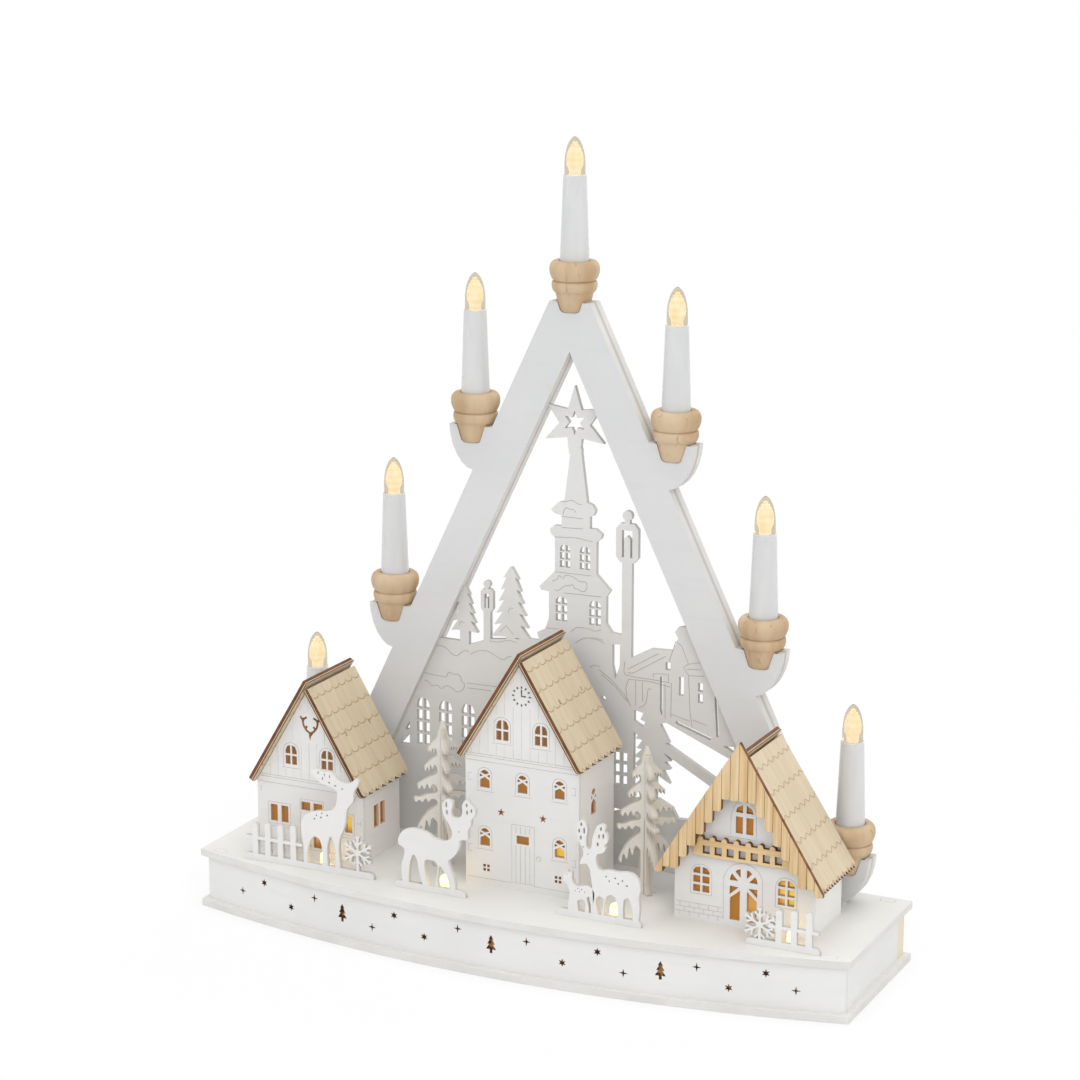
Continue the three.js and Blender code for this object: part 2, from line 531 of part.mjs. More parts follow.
// Candle frame: outline of one side, from the apex down to the deck
function frameSide() {
  const points = [[APEX_HALF, APEX_Z]];
  for (const { rim, x } of tiers) {
    const top = rim - EAR_DROP;
    const cornerZ = top - EAR_HEIGHT;
    const cornerX = outerX(cornerZ);
    points.push([outerX(top), top]);
    for (let i = 0; i <= EAR_STEPS; i += 1) {
      const t = Math.PI / 2 * i / EAR_STEPS;
      points.push([cornerX + (x + EAR_REACH - cornerX) * Math.cos(t) ** (2 / EAR_FULLNESS),
        top - EAR_HEIGHT * Math.sin(t) ** (2 / EAR_FULLNESS)]);
    }
  }
  points.push([outerX(DECK), DECK]);
  return points;
}

const innerApexZ = APEX_Z + (APEX_HALF - ARM_SPAN) / ARM_RUN;
const frameOutline = () => {
  const right = [...frameSide(), [innerX(DECK), DECK]];
  return [...right, [0, innerApexZ], ...right.map(([x, z]) => [-x, z]).reverse()];
};
const outerOutline = () => mirror(frameSide());

// Seats for the cones of the cups, cut through a board from above
function seats(y, thickness) {
  const seat = (x, rim, start) => {
    const top = coneR(start - SEAT_RISE) + TURNED_GAP;
    const end = CONE_END_R + TURNED_GAP;
    const floor = rim - CONE_END_DROP - TURNED_GAP;
    return upright([[x - top, rim - start + SEAT_RISE], [x - end, floor], [x + end, floor],
      [x + top, rim - start + SEAT_RISE]], y - 1, thickness + 2);
  };
  return [seat(0, topRim, topRim - APEX_Z), ...tiers.flatMap(({ rim, x }) =>
    [seat(-x, rim, EAR_DROP), seat(x, rim, EAR_DROP)])];
}

// Bands of even width along a line of points
function bands(points, width, overlap = 0.4 * width) {
  return points.slice(1).map(([x1, z1], i) => {
    const [x0, z0] = points[i];
    const length = Math.hypot(x1 - x0, z1 - z0);
    const [ux, uz] = [(x1 - x0) / length, (z1 - z0) / length];
    const [nx, nz] = [-uz * width / 2, ux * width / 2];
    const [ax, az] = [x0 - ux * overlap, z0 - uz * overlap];
    const [bx, bz] = [x1 + ux * overlap, z1 + uz * overlap];
    return [[ax + nx, az + nz], [ax - nx, az - nz], [bx - nx, bz - nz], [bx + nx, bz + nz]];
  });
}

const strokes = (points, width, y, thickness) =>
  bands(points, width).map((band) => upright(band, y, thickness));

// Leads: one trunk up each arm and a branch to every cup
function leadLines() {
  const lines = [];
  const topLeadZ = topRim - CONE_END_DROP - LEAD_DROP;
  for (const s of [-1, 1]) {
    lines.push([[s * footX, busZ + LEAD_W], [s * footX, DECK], [s * trunkX(topLeadZ), topLeadZ],
      [s * LEAD_W / 8, topLeadZ]]);
    for (const { rim, x } of tiers) {
      const z = rim - CONE_END_DROP - LEAD_DROP;
      lines.push([[s * trunkX(z), z], [s * x, z], [s * x, rim - CONE_END_DROP + LEAD_TAIL]]);
    }
  }
  lines.push([[0, topLeadZ], [0, topRim - CONE_END_DROP + LEAD_TAIL]]);
  return lines;
}

const grooveLines = () => leadLines().map((line) => line.map(([x, z], i) =>
  (i === 0 && z < tongueEnd ? [x, tongueEnd - LEAD_W] : [x, z])));

function buildFrame() {
  addPiece('frame_front', cut(solid(upright(frameOutline(), FRAME_FRONT_Y, FRAME_BOARD_T)),
    seats(FRAME_FRONT_Y, FRAME_BOARD_T)), white());

  const tongues = [-1, 1].map((s) => block(s * footX - FOOT_TONGUE_W / 2,
    s * footX + FOOT_TONGUE_W / 2, REAR_Y, REAR_Y + FRAME_BOARD_T, tongueEnd, DECK + 1));
  const rear = joined([upright(frameOutline(), REAR_Y, FRAME_BOARD_T), ...tongues]);
  const depth = LEAD_T + TURNED_GAP + GROOVE_GAP;
  const grooves = grooveLines().flatMap((line) =>
    strokes(line, LEAD_W + 2 * GROOVE_GAP, REAR_Y - 1, depth + 1));
  addPiece('frame_back', cut(rear, [...grooves, ...seats(REAR_Y, FRAME_BOARD_T)]), white());
}

// Village artwork: x and height above the deck
function panes(cx, z0, width, height, cols, rows, bar, arched = false) {
  const w = (width - bar * (cols - 1)) / cols;
  const h = (height - bar * (rows - 1)) / rows;
  const out = [];
  for (let r = 0; r < rows; r += 1) {
    for (let c = 0; c < cols; c += 1) {
      const x = cx - width / 2 + c * (w + bar);
      const z = z0 + r * (h + bar);
      if (!arched || r < rows - 1) out.push(rect(x, x + w, z, z + h));
      else if (c === 0) {
        out.push([[x, z], [x + w, z], [x + w, z + h], [x + 0.35 * w, z + 0.85 * h],
          [x, z + 0.4 * h]]);
      } else {
        out.push([[x, z], [x + w, z], [x + w, z + 0.4 * h], [x + 0.65 * w, z + 0.85 * h],
          [x, z + h]]);
      }
    }
  }
  return out;
}

// A window with drawn curtains: an arched cap, a triangle on either side and a gabled pane
function curtained(cx, z0, width, height) {
  const shares = [[[-0.42, 0.83], [-0.27, 0.93], [0, 1], [0.27, 0.93], [0.42, 0.83], [0, 0.73]],
    ...[-0.5, 0.5].map((s) => [[s, 0.75], [0.37 * s, 0.665], [s, 0.58]]),
    [[-0.48, 0], [0.48, 0], [0.48, 0.42], [0, 0.6], [-0.48, 0.42]]];
  return shares.map((points) => points.map(([u, v]) => [cx + u * width, z0 + v * height]));
}

function fir(cx, top, bottom, half, tierCount, trunkHalf, trunkEnd) {
  const side = [[0.6, top]];
  for (let i = 1; i <= tierCount; i += 1) {
    const z = top - (top - bottom) * i / tierCount;
    const reach = half * (0.28 + 0.72 * i / tierCount);
    side.push([reach, z], [i < tierCount ? reach * 0.55 : trunkHalf, z + (i < tierCount ? 1.2 : 0.6)]);
  }
  side.push([trunkHalf, trunkEnd]);
  return shift(mirror(side), cx, 0);
}

function lampPost(cx, knobZ, knobR, half, lanternTop, lanternEnd, postHalf, postEnd) {
  return [disc(cx, knobZ, knobR, 10), rect(cx - postHalf / 2, cx + postHalf / 2, lanternTop - 1, knobZ),
    shift(mirror([[half * 0.6, lanternTop], [half, lanternTop - half * 0.45],
      [half, lanternEnd + half * 0.45], [half * 0.6, lanternEnd]]), cx, 0),
    rect(cx - postHalf, cx + postHalf, postEnd, lanternEnd + 1)];
}

const CHURCH_X = 1.8;
const STAR_X = 0.9;
const STAR_Z = 255.3;
const GROUND = [[-190, 0], [-190, 121], [-82, 120.7], [-72.6, 120.6], [-66.6, 118.8], [-53, 123.9],
  [-26.4, 127.1], [-20, 127], [29.6, 136.1], [33, 136], [33, 122], [35.7, 123.5], [48.4, 130.6],
  [61.4, 131.1], [65.1, 138.7], [63, 142.2], [65, 145], [68.2, 145.9], [71.4, 144.6], [73.4, 142],
  [190, 142], [190, 0]];
const CHURCH = [
  [[-3.4, 241], [-3.4, 238], [-7.2, 209], [7.2, 209], [3.4, 238], [3.4, 241]],
  [[-7.2, 210.4], [-11, 208.8], [-15.4, 204.6], [-13.5, 202.6], [-8.9, 201.5], [8.4, 202.4],
    [11, 203.2], [12.2, 206.2], [10.5, 209.2], [7.2, 210.4]],
  rect(-8.8, 8.8, 194, 203),
  [[-13.5, 195.4], [-16.2, 193], [-15, 190], [-12.8, 188.4], [13.2, 188.4], [15.8, 190.6],
    [16.2, 193], [12.5, 195.7]],
  rect(-12.9, 12.9, 167, 189),
  [[-12.9, 169], [-22.6, 159], [-21.6, 157], [-16.6, 156.6], [19.1, 157.4], [21.6, 161],
    [12.9, 169.6]],
  rect(-16.6, 19.1, 126, 158),
  [[-16.6, 141], [-19, 134.5], [-24.2, 131.6], [-22.1, 126], [28, 120], [30, 136.2], [22.5, 137],
    [19.1, 141.6]],
];
const STAR = mirror([[0, 21], [4.2, 7.4], [16.4, 9.2], [9.4, -0.8], [18.2, -10.5], [4.4, -8.6],
  [3.4, -18]].slice(1)).concat([[0, 21]]);
// The fir that stands in front of the two slanted gaps
const GAP_FIR = mirror([[0.5, 107], [3.4, 97], [7.6, 88.6], [4.4, 87.4], [10.3, 77], [6.2, 76.6],
  [9.8, 71.4], [6.4, 71.2], [11.4, 66.4], [7.4, 65.6], [11.2, 61.6], [6.6, 60.4], [11, 53], [2.6, 57.5],
  [2.6, 38]]);
const GAP_FIR_X = 50;
const VILLAGE_GAPS = [
  [[24.8, 130.2], [29.6, 130.8], [29.5, 118.6], [26.7, 110.2], [24.9, 118]],
  rect(57.6, 60.6, 119.6, 124), rect(65.8, 68.8, 105.7, 116.6), rect(77.4, 80.3, 109.7, 114.5),
  rect(77.4, 80.3, 103, 108.2), rect(54.3, 55.9, 93.1, 115.1),
  [[87.4, 108], [88.9, 108], [90.3, 84.6], [88.8, 84.6]],
  [[38.5, 93.8], [56.5, 89.5], [95.9, 73.3], [103.5, 69.6], [107, 50.2], [88.6, 60.1],
    [59.9, 75.7], [43.3, 84.4], [38.5, 87.1]],
  [[64.4, 90.7], [85.9, 83.7], [85.3, 82], [64, 89]],
  [[92.9, 79.9], [99.5, 80.2], [99.5, 76.4]],
  [[38.4, 80.6], [44.1, 77.6], [62.1, 68], [85.6, 55.1], [104, 45], [104, 33.2], [72.3, 33.3],
    [65.8, 33.1], [62.4, 39], [53.9, 43.2], [38.4, 41.3]],
  [[25.5, 34], [32.1, 33.2], [25.4, 31]],
  [[-108.5, 62.3], [-105.6, 67.6], [-105.6, 62.3]], [[-112, 53.1], [-105.6, 60.2], [-105.6, 53.1]],
  disc(19.5, 98, 1.5, 8),
  [[30.3, 181.5], [31.6, 181.5], [31.6, 192], [33.5, 194], [35.4, 192], [35.4, 181.5],
    [36.7, 181.5], [36.7, 197], [30.3, 197]],
  [[-55.9, 142.2], [-55.2, 142.2], [-55.2, 147.6], [-54.4, 148.6], [-53.6, 147.6],
    [-53.6, 142.2], [-52.9, 142.2], [-52.9, 150.4], [-55.9, 150.4]],
];

function buildVillage() {
  const art = [GROUND, ...CHURCH.map((p) => shift(p, CHURCH_X, 0)), shift(STAR, STAR_X, STAR_Z),
    ...lampPost(33.5, 205.4, 3, 6.8, 201, 178.5, 3, 120),
    ...lampPost(-54.4, 156.3, 2.2, 3.9, 153.6, 140, 2.2, 120),
    fir(-69, 154, 126.5, 8.6, 5, 2.9, 117), fir(-39, 168, 126, 12.4, 6, 3, 120)];
  const gaps = [...VILLAGE_GAPS, star(STAR_X, STAR_Z, 7, 3.2, 6),
    ...[-6.6, 5.8].flatMap((x) => panes(CHURCH_X + x, 171.7, 6.4, 13.2, 2, 3, 0.9, true)),
    ...[-8.8, 12.2].flatMap((x) => panes(CHURCH_X + x, 140.1, 7.2, 14.2, 2, 3, 0.9, true)),
    ...[-96.5, -81.8, -67].flatMap((x) => panes(x, 54.5, 8.4, 28.4, 2, 4, 1.2, true)),
    ...panes(30.4, 48, 8.2, 19.4, 2, 3, 1.2)];
  const rough = joined([upright(frameOutline(), VILLAGE_Y, VILLAGE_T),
    ...art.map((p) => upright(onDeck(p), VILLAGE_Y, VILLAGE_T))])
    .intersect(solid(upright(outerOutline(), VILLAGE_Y, VILLAGE_T)));
  const open = cut(rough, [...seats(VILLAGE_Y, VILLAGE_T),
    ...gaps.map((p) => upright(onDeck(p), VILLAGE_Y - 1, VILLAGE_T + 2))]);
  addPiece('village_panel', open.add(solid(upright(onDeck(shift(GAP_FIR, GAP_FIR_X, 0)),
    VILLAGE_Y, VILLAGE_T))), white());
}

// Candles: one group for each, with its origin on the cup's rim
function buildCandles() {
  const socketR = SHAFT_FOOT_R + TURNED_GAP;
  const cup = turned([[CUP_BORE_R, -CONE_END_DROP], [CONE_END_R, -CONE_END_DROP],
    [CONE_TOP_R, -CONE_TOP_DROP], [CUP_BEAD_R - 0.9, -CUP_BEAD_FOOT], [CUP_BEAD_R, -CUP_BEAD_DROP],
    [CUP_GROOVE_R, -CUP_GROOVE_DROP], [CUP_RIM_R, -2.2], [CUP_RIM_R, 1.4], [CUP_RIM_R - 2.6, CUP_LIP], [socketR, CUP_LIP],
    [socketR, -SOCKET_DEPTH], [CUP_BORE_R, -SOCKET_DEPTH], [CUP_BORE_R, -CONE_END_DROP]], 16);
  const foot = TURNED_GAP - SOCKET_DEPTH;
  const shaft = turned([[SHAFT_BORE_R, foot], [SHAFT_FOOT_R, foot], [SHAFT_FOOT_R, CUP_LIP],
    [SHAFT_TOP_R, SHAFT_RISE], [SHAFT_BORE_R, SHAFT_RISE], [SHAFT_BORE_R, foot]], 14);
  const seat = SHAFT_RISE + TURNED_GAP;
  const plugR = SHAFT_BORE_R - TURNED_GAP;
  const shoulder = seat + LAMP_COLLAR_H;
  const tip = SHAFT_RISE + LAMP_RISE;
  const bulb = tip - shoulder;
  const lamp = turned([[0, SHAFT_RISE - LAMP_PLUG_DEPTH], [plugR, SHAFT_RISE - LAMP_PLUG_DEPTH],
    [plugR, seat], [LAMP_R, seat], [LAMP_R, shoulder + bulb * 0.2],
    [LAMP_R * 0.72, shoulder + bulb * 0.68], [LAMP_R * 0.26, tip - bulb * 0.04], [0, tip]], 12);
  const spots = [...tiers.map(({ x, rim }) => [-x, rim]).reverse(), [0, topRim],
    ...tiers.map(({ x, rim }) => [x, rim])];
  spots.forEach(([x, rim], i) => {
    const candle = new THREE.Group();
    candle.position.set(x, CANDLE_Y, rim);
    group.add(candle);
    addPiece(`candle_cup_${i + 1}`, cup.clone(), turnedWood(), candle);
    addPiece(`candle_shaft_${i + 1}`, shaft.clone(), wax(), candle);
    addPiece(`candle_lamp_${i + 1}`, lamp.clone(), lampClear(), candle);
  });
}

// Wiring: the leads in the frame, the bus in the box, and the lamps on the deck
function buildWiring() {
  const half = LEAD_W / 2;
  const slim = 0.8 * half;
  const busY = leadY + LEAD_T / 2;
  const [branchZ, branchTop] = [busZ + BRANCH_SHY, busTop - BRANCH_SHY];
  const domeFoot = DECK - PLATE_T - LAMP_DOME_FOOT;
  const skirt = DECK - domeFoot + LAMP_DOME_SKIRT;
  const crown = LAMP_DOME_RISE - LAMP_DOME_SKIRT;
  const supplyY = BATTERY_Y + SUPPLY_OFFSET;
  const parts = leadLines().flatMap((line) => strokes(line, LEAD_W, leadY, LEAD_T));
  const busReach = Math.max(footX, ...DECK_LAMPS.map(([x]) => Math.abs(x))) + half;
  parts.push(block(-busReach, busReach, leadY, leadY + LEAD_T, busZ, busTop));
  for (const [x, y] of DECK_LAMPS) {
    const dome = turned([[0, 0], [LAMP_DOME_R, 0], [LAMP_DOME_R, skirt],
      [LAMP_DOME_R * 0.72, skirt + crown * 0.7], [0, skirt + crown]], 10).translate(x, y, domeFoot);
    parts.push(dome, block(x - half, x + half, y - half, y + half, busZ, domeFoot + 0.5),
      block(x - slim, x + slim, y, busY, branchZ, branchTop));
  }
  parts.push(block(BATTERY_X - slim, BATTERY_X + slim, supplyY, busY, branchZ, branchTop),
    block(BATTERY_X - half, BATTERY_X + half, supplyY - half, supplyY + half,
      boxRoofZ + BOX_WALL + TURNED_GAP, busTop),
    block(SWITCH_X - half, SWITCH_X + half, leadY + BRANCH_SHY, leadY + LEAD_T - BRANCH_SHY,
      PANEL_Z + (PANEL_H + SWITCH_H) / 2 + TURNED_GAP, branchTop));
  addPiece('light_harness', joined(parts), paint(0xfff1c8, 0.3));
}

// Houses
function roofEdge(length, slope, start, style) {
  const count = Math.max(1, Math.round(length / SHINGLE_PITCH));
  const pitch = length / count;
  const edge = [];
  for (let i = 0; i < count; i += 1) {
    const steps = style === 'scallop' ? [[0.12, 0.55], [0.5, 1], [0.88, 0.55]]
      : [[0.25, 1], [0.5, 0.1], [0.75, 1]];
    edge.push([i * pitch, slope - SCALLOP_DEPTH],
      ...steps.map(([f, d]) => [(i + f) * pitch, slope - SCALLOP_DEPTH * (1 - d)]));
  }
  return [[0, start], ...edge, [length, slope - SCALLOP_DEPTH], [length, start]];
}

function buildHouse(spec) {
  const { name, x, front, back, width, ridge, eaveHalf, eave, roofFront, roofBack } = spec;
  const rise = ridge - eave;
  const angle = Math.atan2(rise, eaveHalf);
  const [ca, sa] = [Math.cos(angle), Math.sin(angle)];
  const wallApex = ridge - (ROOF_T + ROOF_GAP) / ca;
  const wallEave = wallApex - width / 2 * rise / eaveHalf;
  const gable = shift([[-width / 2, 0], [width / 2, 0], [width / 2, wallEave], [0, wallApex],
    [-width / 2, wallEave]], x, DECK);
  const wall = cut(solid(upright(gable, front, WALL_T)),
    spec.openings.map((p) => upright(shift(p, x, DECK), front - 1, WALL_T + 2)));
  addPiece(`${name}_front`, wall, white());

  const room = block(x - width / 2 + WALL_T, x + width / 2 - WALL_T, front, back - WALL_T,
    DECK - 1, DECK + ridge);
  const shell = solid(upright(gable, front + WALL_T, back - front - WALL_T));
  addPiece(`${name}_shell`, cut(shell, [room, ...(spec.sideOpenings ?? []).map((p) =>
    endwise(shift(p, 0, DECK), x + width / 2 - WALL_T - 1, WALL_T + 2))]), white());

  // The left board runs up to the ridge and the right board butts against its inner face
  const length = roofBack - roofFront;
  const slope = Math.hypot(rise, eaveHalf);
  const double = 2 * angle;
  const start = (ROOF_T * (1 - Math.cos(double)) + ROOF_GAP) / Math.sin(double);
  const roofZ = DECK + ridge;
  const left = extrude(roofEdge(length, slope, 0, spec.shingle), ROOF_T).applyMatrix4(
    new THREE.Matrix4().set(0, -ca, -sa, x + ROOF_T * sa, 1, 0, 0, roofFront,
      0, -sa, ca, roofZ - ROOF_T * ca, 0, 0, 0, 1));
  const right = extrude(roofEdge(length, slope, start, spec.shingle), ROOF_T).applyMatrix4(
    new THREE.Matrix4().set(0, ca, -sa, x, 1, 0, 0, roofFront, 0, -sa, -ca, roofZ, 0, 0, 0, 1));
  addPiece(`${name}_roof_left`, left, plywood());
  addPiece(`${name}_roof_right`, right, plywood());
}

// Antlers cut through a gable: beams, tines and the head under them
const ANTLER_W = 1.3;
const ANTLERS = [
  [[0.2, 74.2], [1.6, 74.7], [3.2, 74], [1.6, 72], [0.9, 69.4], [0.2, 72]],
  ...[-1, 1].flatMap((s) => [
    [[0.8, 74.2], [2.6, 75.4], [4.3, 77.8], [4.9, 80.2], [4.4, 82.2]], [[4.7, 80.8], [6.2, 82.9]],
    [[4.2, 82], [2.6, 83]], [[3.2, 76.2], [2.4, 77.6]],
  ].flatMap((line) => bands(line.map(([x, z]) => [1.2 + s * x, z]), ANTLER_W))),
];

// A door glazed as a wheel of eight spokes over two tall panes
const doorFan = [-1, 1].flatMap((s) => [
  [[1.8, 32.9], [1.8, 27.9], [4.9, 31.1], [3.5, 32.4]],
  [[6.7, 29.8], [3.2, 26], [8.1, 25.8], [7.7, 28]],
  [[2.8, 22.4], [8, 17.7], [8, 22.7]],
  [[2, 3.4], [7.8, 3.4], [7.8, 15.8], [2, 20.7]],
].map((pane) => shift(pane, 0, 0, s, 1)));
const gableWindow = [-1, 1].flatMap((s) => [
  [[1, 53], [5.1, 53], [5.1, 62.4], [1, 62.4]],
  [[1, 64.8], [5.1, 64.8], [4.3, 67.4], [1, 69.3]],
].map((pane) => shift(pane, 0, 0, s, 1)));

const HOUSES = [
  { name: 'left_house', x: -136.5, front: -19, back: 24, width: 70, ridge: 106.3, eaveHalf: 38.6,
    eave: 41.8, roofFront: -24, roofBack: 30, shingle: 'scallop',
    openings: [...[-11.9, 11.9].flatMap((x) => panes(x, 53.5, 7.5, 11.5, 2, 2, 1.1, true)),
      ...ANTLERS, ...[-20.5, 21.8].flatMap((x) => panes(x, 17.6, 11.8, 10, 2, 1, 2.6)),
      ...panes(1.2, 27, 14, 5, 2, 1, 2.2), ...panes(1.2, 5, 12, 17, 2, 2, 1.6)],
    sideOpenings: [rect(-6.5, -1, 18, 31.5), rect(0.9, 6.4, 18, 31.5)] },
  { name: 'middle_house', x: -1, front: -18, back: 28, width: 70, ridge: 138.9, eaveHalf: 38.8,
    eave: 75.6, roofFront: -23, roofBack: 33, shingle: 'scallop',
    openings: [
      ...[-11.9, 11.9].flatMap((x) => panes(x, 86.5, 7.5, 11.7, 2, 2, 1.1, true)),
      ...[-22.9, 0.5, 23.3].flatMap((x) => curtained(x, 57.5, 6.2, 10.4)),
      ...[-22.9, 23.3].flatMap((x) => curtained(x, 23.4, 6.2, 10.4)),
      ...[-22.1, 22.4].flatMap((x) => panes(x, 8.4, 4, 4, 2, 2, 0.8)),
      star(-12.8, 44.4, 2.5, 1, 5), star(13.1, 44.4, 2.5, 1, 5),
      rect(-3.2, 4.4, 27.6, 32.4)],
    sideOpenings: curtained(1, 45, 6, 15) },
  { name: 'chalet', x: 130.6, front: -15, back: 28, width: 80.5, ridge: 100.8, eaveHalf: 47.8,
    eave: 27.8, roofFront: -21, roofBack: 30.5, shingle: 'zigzag',
    openings: [...gableWindow,
      ...[-24.6, 24.6].flatMap((x) => panes(x, 16.3, 9.5, 14.4, 2, 3, 1.3, true)), ...doorFan] },
];

function buildChaletTrim() {
  const chalet = HOUSES[2];
  const edge = CLADDING_HALF - PLANK_W;
  const steps = Array.from({ length: PLANK_STEPS }, (_, i) => [edge - (i + 1.9) * PLANK_W,
    CLADDING_TOOTH + PLANK_DROP * (i + 1) ** 1.01]).reverse();
  steps.push([edge, CLADDING_TOOTH]);
  const [endTop, endFoot] = CLADDING_END;
  const half = [[0, chalet.ridge + CLADDING_PEAK], [CLADDING_HALF, endTop],
    [CLADDING_HALF, endFoot], [steps[steps.length - 1][0], endFoot]];
  const under = [];
  for (let i = steps.length - 1; i > 0; i -= 1) {
    under.push([steps[i][0], steps[i][1]], [steps[i - 1][0], steps[i][1]]);
  }
  const right = [...half.slice(1), ...under, steps[0]];
  addPiece('chalet_cladding', upright(shift([half[0], ...mirror(right)], chalet.x, DECK),
    chalet.roofFront - CLADDING_T - ROOF_GAP, CLADDING_T), plywood());

  const [slotW, slotFoot, slotHead] = RAIL_SLOT;
  const crest = Array.from({ length: RAIL_COUNT + 1 }, (_, i) => {
    const x = (RAIL_COUNT / 2 - i) * RAIL_PITCH;
    return [[x + RAIL_PITCH * 0.24, RAIL_TOP], [x + RAIL_PITCH * 0.17, RAIL_TOP + RAIL_SCALLOP],
      [x - RAIL_PITCH * 0.17, RAIL_TOP + RAIL_SCALLOP], [x - RAIL_PITCH * 0.24, RAIL_TOP]];
  }).flat();
  const rail = solid(upright(shift([[-RAIL_HALF, RAIL_FOOT], [RAIL_HALF, RAIL_FOOT],
    [RAIL_HALF, RAIL_TOP], ...crest, [-RAIL_HALF, RAIL_TOP]], chalet.x, DECK),
  chalet.front - RAIL_T, RAIL_T));
  const slots = Array.from({ length: RAIL_COUNT }, (_, i) => {
    const x = (i - (RAIL_COUNT - 1) / 2) * RAIL_PITCH;
    return upright(shift(rect(x - slotW / 2, x + slotW / 2, RAIL_FOOT + slotFoot,
      RAIL_TOP - slotHead), chalet.x, DECK), chalet.front - RAIL_T - 1, RAIL_T + 2);
  });
  addPiece('chalet_railing', cut(rail, slots), plywood());
}

// Trees: two boards slotted into each other. Branches run from the top down: reach, height of the
// tip, and the heights at which the branch leaves the trunk above and below.
const TREE_BRANCHES = [[8.6, 69.4, 75.5, 67.5], [10.8, 58.6, 66, 58], [15, 48.5, 55.5, 46],
  [17, 41, 44.5, 38.2], [16, 21.5, 37.3, 25.5]];
const TREE_FINGERS = [[0.78, 0.9], [0.66, 0.1], [0.5, 1], [0.4, 0.1], [0.24, 0.8]];

function treeOutline() {
  const side = [[0.6, TREE_H], [0.75 * TREE_TRUNK_HALF, TREE_H - 6.5]];
  for (const [reach, tip, top, under] of TREE_BRANCHES) {
    const out = (u) => TREE_TRUNK_HALF + (reach - TREE_TRUNK_HALF) * u;
    const droop = top - tip;
    const finger = 1.1 + 0.11 * droop;
    const foot = tip - TREE_TIP;
    side.push([out(0), top], [out(0.4), top - 0.26 * droop], [out(0.78), top - 0.62 * droop],
      [out(0.96), tip + TREE_TIP], [reach, tip], [out(0.95), foot]);
    for (const [u, lift] of TREE_FINGERS) {
      side.push([out(u), foot + (under - foot) * (1 - u) + lift * finger]);
    }
    side.push([out(0), under]);
  }
  side.push([TREE_TRUNK_HALF, 4], [TREE_TRUNK_HALF + 2.4, 2], [TREE_TRUNK_HALF + 2.4, 0]);
  return onDeck(mirror(side));
}

function buildTree(name, x, y) {
  const outline = treeOutline();
  const slotHalf = (TREE_T + TREE_SLOT_GAP) / 2;
  const mid = DECK + TREE_H / 2;
  const play = TREE_SLOT_GAP / 2;
  const tree = new THREE.Group();
  tree.position.set(x, y, 0);
  tree.rotation.z = THREE.MathUtils.degToRad(TREE_TURN);
  group.add(tree);
  const across = solid(upright(outline, -TREE_T / 2, TREE_T));
  addPiece(`${name}_across`, cut(across, [block(-slotHalf, slotHalf, -TREE_T, TREE_T,
    DECK - 1, mid + play)]), white(), tree);
  const along = solid(endwise(outline, -TREE_T / 2, TREE_T));
  addPiece(`${name}_along`, cut(along, [block(-TREE_T, TREE_T, -slotHalf, slotHalf,
    mid - play, DECK + TREE_H + 1)]), white(), tree);
}

buildBox();
buildPower();
buildFrame();
buildVillage();
buildCandles();
buildWiring();
HOUSES.forEach(buildHouse);
buildChaletTrim();
Object.entries(TREE_SPOTS).forEach(([name, [x, y]]) => buildTree(name, x, y));
buildFigures();

export default group;
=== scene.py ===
"""Looks of a wooden window light: paint, plywood, turned cups, lamps, lit houses and engraving.

All sizes are millimetres in the text and become metres when a mesh is made. The frame's axes are
+X to the right as seen from the front, +Y to the back and +Z up.
"""

import logging
import math
from dataclasses import dataclass, field
from enum import Enum
from functools import reduce
from typing import Iterable, Sequence

import bpy
from mathutils import Matrix, Vector

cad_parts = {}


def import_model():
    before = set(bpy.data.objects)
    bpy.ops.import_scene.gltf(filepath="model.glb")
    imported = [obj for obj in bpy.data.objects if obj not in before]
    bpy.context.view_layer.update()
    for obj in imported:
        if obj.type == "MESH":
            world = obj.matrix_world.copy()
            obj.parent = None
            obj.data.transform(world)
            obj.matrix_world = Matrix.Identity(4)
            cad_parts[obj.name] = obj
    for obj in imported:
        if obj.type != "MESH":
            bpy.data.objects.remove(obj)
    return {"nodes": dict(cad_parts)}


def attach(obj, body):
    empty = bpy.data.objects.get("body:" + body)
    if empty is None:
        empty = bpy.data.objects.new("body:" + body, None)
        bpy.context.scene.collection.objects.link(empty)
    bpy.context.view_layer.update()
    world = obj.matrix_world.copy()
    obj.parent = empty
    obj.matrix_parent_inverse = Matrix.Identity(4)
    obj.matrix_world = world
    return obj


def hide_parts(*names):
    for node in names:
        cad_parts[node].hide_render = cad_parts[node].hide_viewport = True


MM = 0.001
DECK = 34.7
BODY = "window_light"
ACROSS, DEEP, UP = (1.0, 0.0, 0.0), (0.0, 1.0, 0.0), (0.0, 0.0, 1.0)
WHITE = (1.0, 1.0, 1.0, 1.0)
# How far engraved lines stand off a face, and how far the edges of thin sheets are broken
ENGRAVING_RISE, THIN_BEVEL = 0.03, 0.05
# Points nearer than this are merged: in metres on a profile and a spun piece, on a board in mm
PROFILE_REACH, SPUN_REACH, BOARD_REACH = 1e-6, 2e-6, 2e-3
# Middles of the two gable windows of the left and the middle house
WINDOWS = (-11.9, 11.9)

Point = tuple[float, float]
Line = list[Point]
Colour = tuple[float, float, float, float]
Socket = bpy.types.NodeSocket
Piece = bpy.types.Object
Material = bpy.types.Material
Value = Socket | float | tuple

log = logging.getLogger("window_light")


